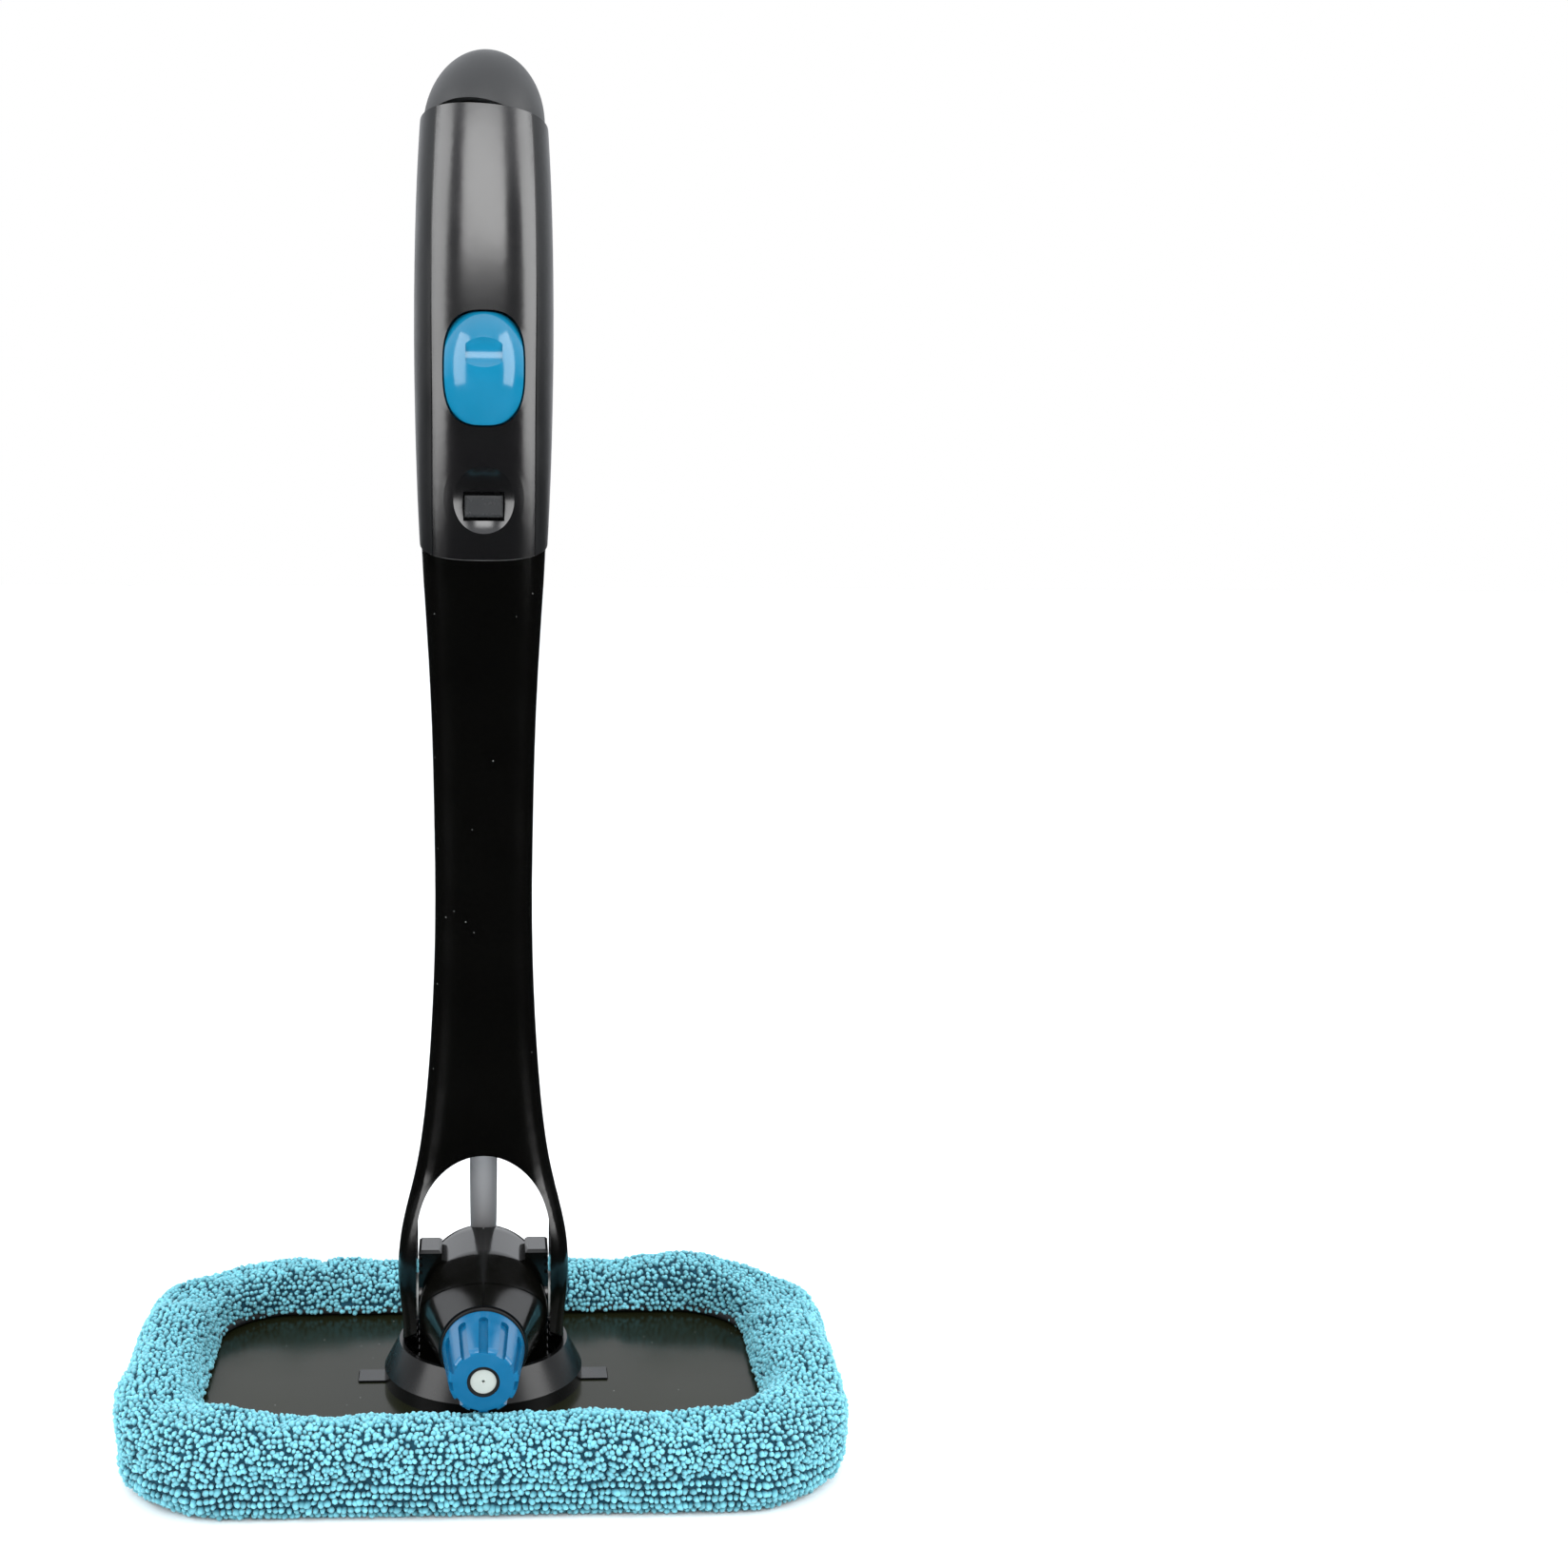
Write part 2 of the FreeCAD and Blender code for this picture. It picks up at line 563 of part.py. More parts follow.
def knuckle_half(side, whole):
    x_range = (0, 60) if side > 0 else (-60, 0)
    half = whole.common(block(x_range, (-80, 80), (0, 150)))
    z = BASE_TOP + 6
    head = NECK_HALF_WIDTH - 1.6
    for y in CROSS_SCREWS:
        if side > 0:
            half = half.cut(rod(SCREW_HEAD_RADIUS + 0.2, V(head - SCREW_HEAD_HEIGHT, y, z), V(60, y, z)))
            half = half.cut(rod(SCREW_RADIUS + SLIDE_PLAY, V(-1, y, z), V(60, y, z)))
        else:
            half = half.cut(rod(SCREW_RADIUS + FIT, V(-7.0, y, z), V(1, y, z)))
    return single(half)


def knuckle_screws():
    head = NECK_HALF_WIDTH - 1.6
    return group([screw(V(head, y, BASE_TOP + 6), V(-1, 0, 0), head + 6.8) for y in CROSS_SCREWS])


# --- head: nozzle -------------------------------------------------------------
def nozzle_stem():
    """Threaded spray tube with a flange behind the snout's front wall and a hose tail."""
    wall = SNOUT_END - 3.5
    profile = (
        (1.1, 12.0), (HOSE_BORE, 12.0), (HOSE_BORE, wall - 6.0), (9.0, wall - 4.5), (9.0, wall - FIT),
        (STEM_RADIUS + 0.5, wall - FIT), (STEM_RADIUS + 0.5, SNOUT_END), (STEM_RADIUS, SNOUT_END),
        (STEM_RADIUS, SNOUT_END + 12.0), (3.0, SNOUT_END + 15.0), (1.1, SNOUT_END + 15.0),
    )
    shape = turned(profile, SPRAY_PLACE)
    for turn in range(6):
        thread = Part.makeTorus(STEM_RADIUS + 0.05, 0.35, V(0, 0, SNOUT_END + 3.0 + 1.4 * turn), V(0, 0, 1))
        thread.Placement = SPRAY_PLACE.multiply(thread.Placement)
        shape = shape.cut(thread)
    return single(shape)


def nozzle_seal():
    start = SNOUT_END
    bore = STEM_RADIUS + SLIDE_PLAY
    return pipe(CAP_BACK_RADIUS + 0.4, bore, along_spray(start), along_spray(start + 1.1))


def nozzle_cap():
    back = SNOUT_END + 1.1 + RUNNING_GAP
    front = back + CAP_LENGTH
    profile = (
        (STEM_RADIUS + SLIDE_PLAY, back),
        (CAP_BACK_RADIUS, back),
        (CAP_FRONT_RADIUS, front),
        (JET_RING_RADIUS + FIT, front),
        (JET_RING_RADIUS + FIT, front - 1.6),
        (2.4, front - 1.6),
        (2.4, front - 3.4),
        (STEM_RADIUS + SLIDE_PLAY, front - 3.4),
    )
    shape = turned(profile)
    rims = [edge for edge in shape.Edges if edge.BoundBox.ZLength < 0.01
            and edge.BoundBox.XLength > 2 * CAP_FRONT_RADIUS - 1
            and abs(edge.BoundBox.ZMin - back) > 0.1]
    shape = shape.makeFillet(1.6, rims)
    slope = math.degrees(math.atan((CAP_BACK_RADIUS - CAP_FRONT_RADIUS) / CAP_LENGTH))
    for index in range(FLUTE_COUNT):
        flute = flute_tool(back + 3.0, front + 0.6)
        flute.rotate(V(CAP_BACK_RADIUS, 0, back), V(0, 1, 0), -slope)
        flute.rotate(V(0, 0, 0), V(0, 0, 1), 90 + 360 * index / FLUTE_COUNT)
        shape = shape.cut(flute)
    shape.Placement = SPRAY_PLACE.multiply(shape.Placement)
    return single(shape)


def flute_tool(low, high):
    """Round-ended slot cutter lying along the cap's side at angle zero."""
    radius = FLUTE_WIDTH / 2
    depth = CAP_BACK_RADIUS - FLUTE_DEPTH
    body = block((depth, depth + 6), (-radius, radius), (low + radius, high))
    end = Part.makeCylinder(radius, 6, V(depth, 0, low + radius), V(1, 0, 0))
    return body.fuse(end)


def jet_ring():
    front = SNOUT_END + 1.1 + RUNNING_GAP + CAP_LENGTH
    return pipe(JET_RING_RADIUS, JET_DISC_RADIUS + FIT, along_spray(front - 1.6), along_spray(front - 0.2))


def jet_disc():
    front = SNOUT_END + 1.1 + RUNNING_GAP + CAP_LENGTH
    return pipe(JET_DISC_RADIUS, PINHOLE_RADIUS, along_spray(front - 1.6), along_spray(front - 0.5))


# --- handle: fork and arm -----------------------------------------------------
def lower_arm():
    below = ARM_OUTER.cut(ABOVE_JOINT)
    feet = rod(FORK_END_RADIUS, V(-40, 0, PIVOT_Z), V(40, 0, PIVOT_Z))
    shape = below.common(feet.fuse(block((-60, 60), (-80, 80), (PIVOT_Z, BIG)))).cut(fork_arch())
    shape = shape.fuse(spigot()).cut(arm_cavity()).cut(cover_region(PANEL_GAP))
    for side in (-1, 1):
        outer_end = V(side * (FORK_OUTER - 0.8), 0, PIVOT_Z)
        shape = shape.cut(rod(PIN_RADIUS + FIT, V(side * 10, 0, PIVOT_Z), outer_end))
    top = V(0, WATER_Y, SPIGOT_TOP + 5)
    bottom = V(0, WATER_Y, JOINT_Z - 30)
    shape = shape.cut(rod(TUBE_RADIUS + SLIDE_PLAY, bottom, top)).cut(latch_pocket())
    return single(shape)


def fork_arch():
    """The gap between the fork's arms: straight sides under half an ellipse."""
    spring = PIVOT_Z + ARCH_SPRING
    crown = Part.Ellipse(V(0, -60, spring + ARCH_RISE), V(FORK_INNER, -60, spring), V(0, -60, spring))
    arc = Part.ArcOfEllipse(crown, -math.pi / 2, math.pi / 2).toShape()
    ends = [vertex.Point for vertex in arc.Vertexes]
    legs = Part.makePolygon([ends[0], V(ends[0].x, -60, 0), V(ends[1].x, -60, 0), ends[1]])
    face = Part.Face(Part.Wire(Part.__sortEdges__([arc] + legs.Edges)))
    return face.extrude(V(0, 120, 0))


def arm_cavity():
    """The water line's channel, open at the crotch of the fork."""
    sections = [
        (PIVOT_Z + ARCH_SPRING + ARCH_RISE - 8, CROTCH_Y, HOSE_RADIUS + 1.6, HOSE_RADIUS + 1.6, 2.2),
        (FORK_TOP + 10, 0.6 * CROTCH_Y, 8.5, 8.2, 2.4),
    ]
    for height, y, half_width, half_depth, power in handle_sections()[6:-1]:
        sections.append((height, y, half_width - ARM_WALL, half_depth - ARM_WALL, power))
    return loft(sections).common(block((-60, 60), (-90, 60), (0, JOINT_Z - 9)))


def cover_region(grow):
    """Round-ended bar through the arm's back wall, where the rear cover fits."""
    half = COVER_HALF_WIDTH + grow
    low = FORK_TOP + 24.0 + half - grow
    high = JOINT_Z - 22.0 - half + grow
    shape = block((-half, half), (-4, 60), (low, high))
    shape = shape.fuse(rod(half, V(0, -4, low), V(0, 60, low)))
    return shape.fuse(rod(half, V(0, -4, high), V(0, 60, high)))


def arm_rear_cover():
    return single(ARM_OUTER.common(cover_region(0)).cut(arm_cavity()))


def spigot():
    """Plug on the arm that fills the grip's open end."""
    shape = loft(grip_sections()[:5], GRIP_WALL + RUNNING_GAP)
    return shape.common(block((-60, 60), (SPIGOT_FACE_Y, 60), (JOINT_Z - 6, SPIGOT_TOP)))


def latch_pocket():
    half = LATCH_TAB_WIDTH / 2 + 1.5 + SLIDE_PLAY
    height = LATCH_TAB_HEIGHT / 2 + 2.5 + SLIDE_PLAY
    depth = (SPIGOT_FACE_Y - 1, SPIGOT_FACE_Y + 8.5)
    return block((-half, half), depth, (LATCH_Z - height, LATCH_Z + height))


def pivot_pin(side):
    inner = V(side * 12.2, 0, PIVOT_Z)
    return rod(PIN_RADIUS, inner, V(side * (FORK_OUTER - 0.8 - FIT), 0, PIVOT_Z))


def friction_washers():
    inner = EAR_OUTER + SLIDE_PLAY / 2
    outer = FORK_INNER - SLIDE_PLAY / 2
    shapes = []
    for side in (-1, 1):
        start = V(side * inner, 0, PIVOT_Z)
        shapes.append(pipe(6.5, PIN_RADIUS + FIT, start, V(side * outer, 0, PIVOT_Z)))
    return group(shapes)


# --- handle: grip -------------------------------------------------------------
def panel_region(offset):
    """Everything in front of the line where the front panel meets the rear shell."""
    points = []
    for height, y, half_width, half_depth, power in grip_sections():
        points.append(V(-60, y - half_depth + PANEL_DEPTH + offset, height))
    curve = Part.BSplineCurve()
    curve.interpolate(Points=points)
    top = V(-60, -150, points[-1].z)
    bottom = V(-60, -150, points[0].z)
    rim = Part.makePolygon([points[-1], top, bottom, points[0]])
    face = Part.Face(Part.Wire([curve.toShape()] + rim.Edges))
    return face.extrude(V(120, 0, 0))


def grip_skin():
    solid = GRIP_OUTER.common(ABOVE_JOINT.copy()).cut(ABOVE_END)
    lift = slab_above(JOINT_POINT.add(V(0, 0, PANEL_GAP)), JOINT_TURN)
    return solid.common(lift).cut(GRIP_INNER)


def button_pocket(grow):
    width = BUTTON_WIDTH + 2 * grow
    return oval_prism(width, BUTTON_HEIGHT + 2 * grow, 2.8, -90, FLANGE_Y + 2, BUTTON_Z)


def screw_boss(x, z, y_start, y_end):
    return rod(BOSS_RADIUS, V(x, y_start, z), V(x, y_end, z))


def grip_front_panel():
    skin = grip_skin().common(panel_region(-PANEL_GAP / 2))
    ball = DISH_DEPTH / 2 + DISH_RADIUS ** 2 / (2 * DISH_DEPTH)
    centre = V(0, DISH_Y + DISH_DEPTH - ball, LATCH_Z)
    boss = Part.makeSphere(ball + 2.4, centre).common(GRIP_OUTER.cut(ABOVE_END))
    depth = (-90, SPIGOT_FACE_Y - RUNNING_GAP)
    boss = boss.common(block((-10.5, 10.5), depth, (LATCH_Z - 11, LATCH_Z + 11)))
    boss = boss.common(slab_above(JOINT_POINT.add(V(0, 0, PANEL_GAP)), JOINT_TURN))
    shape = skin.fuse(boss).cut(Part.makeSphere(ball, centre))
    half = LATCH_WINDOW_WIDTH / 2
    tall = LATCH_WINDOW_HEIGHT / 2
    shape = shape.cut(block((-half, half), (-90, 0), (LATCH_Z - tall, LATCH_Z + tall)))
    shape = shape.cut(button_pocket(BUTTON_GAP))
    for x, z in SCREW_PLACES:
        start = front_surface_y(GRIP_OUTER, z) + GRIP_WALL
        post = screw_boss(x, z, start - 0.5, BARREL_FRONT + 6.0)
        shape = shape.fuse(post.common(GRIP_MIDDLE))
        shape = shape.cut(rod(SCREW_RADIUS + FIT, V(x, BARREL_FRONT - 3.0, z), V(x, 40, z)))
    return single(shape)


def rear_seat_y(x, z):
    """Inside face of the rear shell behind a screw."""
    line = Part.makeLine(V(x, -20, z), V(x, BIG, z))
    return line.common(GRIP_INNER).BoundBox.YMax


def grip_rear_shell():
    half = BUTTON_WIDTH / 2 + BUTTON_RIM + BUTTON_GAP
    tall = BUTTON_HEIGHT / 2 + BUTTON_RIM + BUTTON_GAP
    rim_room = block((-half, half), (-90, FLANGE_Y + 2), (BUTTON_Z - tall, BUTTON_Z + tall))
    shape = grip_skin().cut(panel_region(PANEL_GAP / 2)).cut(rim_room)
    for x, z in SCREW_PLACES:
        inside = rear_seat_y(x, z)
        post = rod(BOSS_RADIUS + 1.2, V(x, inside - 3.2, z), V(x, inside + 4.0, z)).common(GRIP_MIDDLE)
        shape = shape.fuse(post)
        shape = shape.cut(rod(SCREW_HEAD_RADIUS + 0.2, V(x, inside - 1.8, z), V(x, 60, z)))
        shape = shape.cut(rod(SCREW_RADIUS + SLIDE_PLAY, V(x, inside - 10, z), V(x, 60, z)))
    return single(shape)


def grip_screws():
    screws = []
    for x, z in SCREW_PLACES:
        start = V(x, rear_seat_y(x, z) - 1.8 + SCREW_HEAD_HEIGHT, z)
        screws.append(screw(start, V(0, -1, 0), start.y - BARREL_FRONT + 1.0))
    return group(screws)


def joint_gasket():
    """Thin grey trim ring that shows as a light line where the arm meets the grip."""
    ring = loft(grip_sections()[:3], GRIP_STEP + 0.1)
    hole = loft(grip_sections()[:3], GRIP_WALL)
    ring = ring.cut(hole)
    upper = slab_above(JOINT_POINT, JOINT_TURN)
    lower = slab_above(JOINT_POINT.add(V(0, 0, PANEL_GAP - FIT)), JOINT_TURN)
    return single(ring.common(upper).cut(lower))


# --- handle: pump, tank and water line ----------------------------------------
def pump_bracket():
    bottom = SPIGOT_TOP + 0.5
    top = TANK_FLOOR - 0.6
    shape = loft(grip_sections(), GRIP_WALL + TANK_GAP)
    y_low = BARREL_FRONT + 1.0
    shape = shape.common(block((-60, 60), (y_low, y_low + 1.5), (bottom, top)))
    shape = shape.cut(rod(BARREL_RADIUS + FIT, V(0, -60, BUTTON_Z), V(0, 40, BUTTON_Z)))
    for x, z in SCREW_PLACES:
        shape = shape.cut(rod(BOSS_RADIUS + FIT, V(x, -60, z), V(x, 40, z)))
    return single(shape)


def pump_barrel():
    back = BARREL_BACK - 1.4
    shape = rod(BARREL_RADIUS, V(0, BARREL_FRONT, BUTTON_Z), V(0, BARREL_BACK, BUTTON_Z))
    flange_y = BARREL_FRONT + 2.5 + FIT
    shape = shape.fuse(rod(BARREL_RADIUS + 2, V(0, flange_y, BUTTON_Z), V(0, flange_y + 1.2, BUTTON_Z)))
    for side in (-1, 1):
        tip = V(0, WATER_Y, BUTTON_Z + side * (BARREL_RADIUS + 6.5))
        shape = shape.fuse(rod(TUBE_BORE + 0.9, V(0, WATER_Y, BUTTON_Z + side * (BARREL_RADIUS - 0.6)), tip))
        shape = shape.cut(rod(1.1, V(0, WATER_Y, BUTTON_Z), tip.add(V(0, 0, side))))
    return single(shape.cut(rod(BARREL_BORE, V(0, BARREL_FRONT - 1, BUTTON_Z), V(0, back, BUTTON_Z))))


def pump_gland():
    start = V(0, BARREL_FRONT - 1.5, BUTTON_Z)
    shape = pipe(BARREL_RADIUS, 2.5 + SLIDE_PLAY, start, V(0, BARREL_FRONT, BUTTON_Z))
    spigot_ring = pipe(BARREL_BORE - FIT, 2.5 + SLIDE_PLAY, V(0, BARREL_FRONT, BUTTON_Z),
                       V(0, BARREL_FRONT + 1.6, BUTTON_Z))
    return single(shape.fuse(spigot_ring))


def check_balls():
    balls = []
    for side in (-1, 1):
        balls.append(Part.makeSphere(1.0, V(0, WATER_Y, BUTTON_Z + side * (BARREL_RADIUS + 3.0))))
    return group(balls)


def water_tank():
    depth = GRIP_WALL + TANK_GAP
    room = block((-60, 60), (-90, 60), (TANK_FLOOR, BIG))
    shape = loft(grip_sections(), depth).common(room)
    lid = slab_above(END_POINT.sub(END_AXIS * 4.5), END_TURN)
    shape = shape.cut(lid)
    inner_room = block((-60, 60), (-90, 60), (TANK_FLOOR + TANK_WALL, BIG))
    inside = loft(grip_sections(), depth + TANK_WALL).common(inner_room)
    inside = inside.cut(slab_above(END_POINT.sub(END_AXIS * (4.5 + TANK_WALL)), END_TURN))
    neck_low = END_POINT.sub(END_AXIS * 6.0)
    neck_high = END_POINT.add(END_AXIS * 1.5)
    shape = shape.fuse(rod(TANK_NECK_RADIUS, neck_low, neck_high)).cut(inside)
    shape = shape.cut(rod(TANK_NECK_BORE, END_POINT.sub(END_AXIS * 9.0), neck_high.add(END_AXIS)))
    tail = V(0, WATER_Y, TANK_FLOOR - 5.0)
    shape = shape.fuse(rod(TUBE_BORE + 0.9, tail, V(0, WATER_Y, TANK_FLOOR + 0.5)))
    return single(shape.cut(rod(1.1, tail.sub(V(0, 0, 1)), V(0, WATER_Y, TANK_FLOOR + 6))))


def suction_tube():
    low = V(0, WATER_Y, BUTTON_Z + BARREL_RADIUS + 1.0)
    high = V(0, WATER_Y, TANK_FLOOR - 0.4)
    return pipe(2.6, TUBE_BORE + 0.9 + FIT, low, high)


def delivery_tube():
    top = BUTTON_Z - BARREL_RADIUS - 6.5 - FIT
    points = [
        V(0, WATER_Y, top),
        V(0, WATER_Y, JOINT_Z - 34),
        V(0, -2.5, JOINT_Z - 96),
        V(0, CROTCH_Y, JOINT_Z - 130),
        V(0, CROTCH_Y, FORK_TOP + 8.0),
    ]
    return single(smooth_tube(points, TUBE_RADIUS, TUBE_BORE))


def outlet_sleeve():
    """Short soft sleeve that joins the pump's outlet nipple to the delivery tube."""
    high = BUTTON_Z - BARREL_RADIUS - 1.0
    tip = BUTTON_Z - BARREL_RADIUS - 6.5
    upper = pipe(2.8, TUBE_BORE + 0.9 + FIT, V(0, WATER_Y, tip), V(0, WATER_Y, high))
    lower = pipe(2.8, TUBE_RADIUS + FIT, V(0, WATER_Y, tip - 1.8), V(0, WATER_Y, tip))
    return single(upper.fuse(lower))


def hose_coupler():
    up = V(0, 0, 1)
    body = rod(3.2, HOSE_TOP, HOSE_TOP.add(up * 2))
    body = body.fuse(rod(TUBE_BORE - FIT, HOSE_TOP.add(up * 2), HOSE_TOP.add(up * 8)))
    body = body.fuse(rod(HOSE_BORE - FIT, HOSE_TOP.sub(up * 5), HOSE_TOP))
    return single(body.cut(rod(0.7, HOSE_TOP.sub(up * 6), HOSE_TOP.add(up * 9))))


def flex_hose():
    points = [HOSE_TOP.sub(V(0, 0, FIT)), HOSE_BEND, ELBOW.add(HOSE_AXIS * 8.5)]
    return single(smooth_tube(points, HOSE_RADIUS, HOSE_BORE))


def elbow_fitting():
    upright = rod(HOSE_BORE - FIT, ELBOW, ELBOW.add(HOSE_AXIS * 14))
    body = Part.makeSphere(3.9, ELBOW).fuse(rod(3.3, ELBOW, ELBOW.add(HOSE_AXIS * 8.4)))
    forward = rod(3.6, ELBOW, along_spray(12.0 + 5.0))
    shape = body.fuse(upright).fuse(forward)
    shape = shape.cut(rod(1.1, ELBOW, ELBOW.add(HOSE_AXIS * 15))).cut(rod(1.1, ELBOW, along_spray(13)))
    return single(shape.cut(rod(HOSE_BORE + FIT, along_spray(12.0 - FIT), along_spray(20))))


# --- moving controls ----------------------------------------------------------
def spray_button():
    apex = FACE_Y - BUTTON_PROUD
    prism = oval_prism(BUTTON_WIDTH, BUTTON_HEIGHT, 2.8, apex - 2, FLANGE_Y, BUTTON_Z)
    swell = FreeCAD.Matrix()
    swell.scale(0.62 * BUTTON_WIDTH, 2.8 * BUTTON_PROUD, 0.62 * BUTTON_HEIGHT)
    crown = Part.makeSphere(1.0).transformGeometry(swell)
    crown.translate(V(0, apex + 2.8 * BUTTON_PROUD, BUTTON_Z))
    bar = oval_prism(BUTTON_WIDTH, BUTTON_HEIGHT, 2.8, apex + 2.8 * BUTTON_PROUD, FLANGE_Y, BUTTON_Z)
    shape = prism.common(crown)
    if FLANGE_Y > apex + 2.8 * BUTTON_PROUD:
        shape = shape.fuse(bar)
    rim_width = BUTTON_WIDTH + 2 * BUTTON_RIM
    rim_height = BUTTON_HEIGHT + 2 * BUTTON_RIM
    rim = oval_prism(rim_width, rim_height, 2.8, FLANGE_Y, FLANGE_Y + 1.2, BUTTON_Z)
    scoop_radius = 7.0
    scoop_y = apex + 2.0 - scoop_radius
    scoop = rod(scoop_radius, V(-4.7, scoop_y, BUTTON_Z + 5.2), V(4.7, scoop_y, BUTTON_Z + 5.2))
    shape = shape.cut(scoop).fuse(rim)
    hollow = oval_prism(BUTTON_WIDTH - 4, BUTTON_HEIGHT - 4, 2.8, FLANGE_Y - 4, FLANGE_Y + 3, BUTTON_Z)
    shape = shape.cut(hollow)
    hub = rod(4.2, V(0, FLANGE_Y - 4.5, BUTTON_Z), V(0, FLANGE_Y + 1.2, BUTTON_Z))
    socket = rod(2.5 + FIT, V(0, FLANGE_Y - 3.0, BUTTON_Z), V(0, FLANGE_Y + 3, BUTTON_Z))
    return single(shape.fuse(hub).cut(socket))


def pump_piston():
    head = BARREL_FRONT + 2.0
    shape = rod(2.5, V(0, FLANGE_Y - 3.0 + FIT, BUTTON_Z), V(0, head, BUTTON_Z))
    shape = shape.fuse(rod(BARREL_BORE - SLIDE_PLAY, V(0, head, BUTTON_Z), V(0, head + 1.0, BUTTON_Z)))
    shape = shape.fuse(rod(3.6, V(0, head + 1.0, BUTTON_Z), V(0, head + 2.6, BUTTON_Z)))
    lip_start = V(0, head + 2.6, BUTTON_Z)
    lip_end = V(0, head + 3.6, BUTTON_Z)
    return single(shape.fuse(rod(BARREL_BORE - SLIDE_PLAY, lip_start, lip_end)))


def piston_seal():
    start = BARREL_FRONT + 3.0 + FIT
    return pipe(BARREL_BORE - 0.05, 3.6 + FIT, V(0, start, BUTTON_Z), V(0, start + 1.6 - 2 * FIT, BUTTON_Z))


def return_spring():
    start = BARREL_FRONT + 5.6 + FIT
    length = BARREL_BACK - 1.4 - FIT - start
    return coil(3.6, SPRING_WIRE, 4.0, V(0, start, BUTTON_Z), V(0, 1, 0), length)


def release_latch():
    half = LATCH_TAB_WIDTH / 2
    tall = LATCH_TAB_HEIGHT / 2
    tab = block((-half, half), (DISH_Y + 1.2, SPIGOT_FACE_Y + 0.5), (LATCH_Z - tall, LATCH_Z + tall))
    front = [edge for edge in tab.Edges if edge.BoundBox.YMax < DISH_Y + 1.21]
    tab = tab.makeChamfer(0.7, front)
    base = block((-half - 1.5, half + 1.5), (SPIGOT_FACE_Y + 0.5, SPIGOT_FACE_Y + 2.3),
                 (LATCH_Z - tall - 2.5, LATCH_Z + tall + 2.5))
    stud = rod(1.4, V(0, SPIGOT_FACE_Y + 2.3, LATCH_Z), V(0, SPIGOT_FACE_Y + 4.2, LATCH_Z))
    return single(tab.fuse(base).fuse(stud))


def latch_spring():
    start = SPIGOT_FACE_Y + 2.3 + FIT
    length = SPIGOT_FACE_Y + 8.5 - FIT - start
    return coil(2.6, LATCH_WIRE, 3.0, V(0, start, LATCH_Z), V(0, 1, 0), length)


def end_cap():
    """Domed filler cap: it sits on the grip's rim and its plug fits the tank's neck."""
    def half_dome(inset):
        swell = FreeCAD.Matrix()
        swell.scale(DOME_HALF_WIDTH - inset, DOME_HALF_DEPTH - inset, DOME_HEIGHT - inset)
        ball = Part.makeSphere(1.0).transformGeometry(swell)
        return ball.common(Part.makeBox(80, 80, 80, V(-40, -40, 0)))
    shape = half_dome(0).cut(half_dome(2.0))
    plug_radius = TANK_NECK_BORE - 0.25
    shape = shape.fuse(Part.makeCylinder(plug_radius, 22.0, V(0, 0, -6.0)).common(
        half_dome(0.5).fuse(Part.makeCylinder(plug_radius, 7.0, V(0, 0, -6.5)))))
    shape = shape.cut(Part.makeCylinder(plug_radius - 1.8, 14.0, V(0, 0, -6.5)))
    groove_floor = Part.makeCylinder(plug_radius - 0.9, 1.6, V(0, 0, -4.4))
    groove = Part.makeCylinder(20, 1.6, V(0, 0, -4.4)).cut(groove_floor)
    shape = shape.cut(groove)
    notch_radius = (NOTCH_LENGTH ** 2 / 4 + NOTCH_HEIGHT ** 2) / (2 * NOTCH_HEIGHT)
    notch = Part.makeCylinder(notch_radius, 30, V(0, 0, NOTCH_HEIGHT - notch_radius), V(0, -1, 0))
    notch.rotate(V(0, 0, 0), V(0, 0, 1), -22)
    notch = notch.cut(Part.makeCylinder(TANK_NECK_RADIUS + 1, 120, V(0, 0, -100)))
    shape = shape.cut(notch)
    shape.translate(V(0, 0, RUNNING_GAP))
    shape.Placement = END_PLACE.multiply(shape.Placement)
    return single(shape)


def plug_ring():
    radius = TANK_NECK_BORE - 0.25
    low = END_POINT.add(END_AXIS * (RUNNING_GAP - 4.4 + FIT))
    high = END_POINT.add(END_AXIS * (RUNNING_GAP - 2.8 - FIT))
    return pipe(TANK_NECK_BORE - 0.05, radius - 0.9 + FIT, low, high)


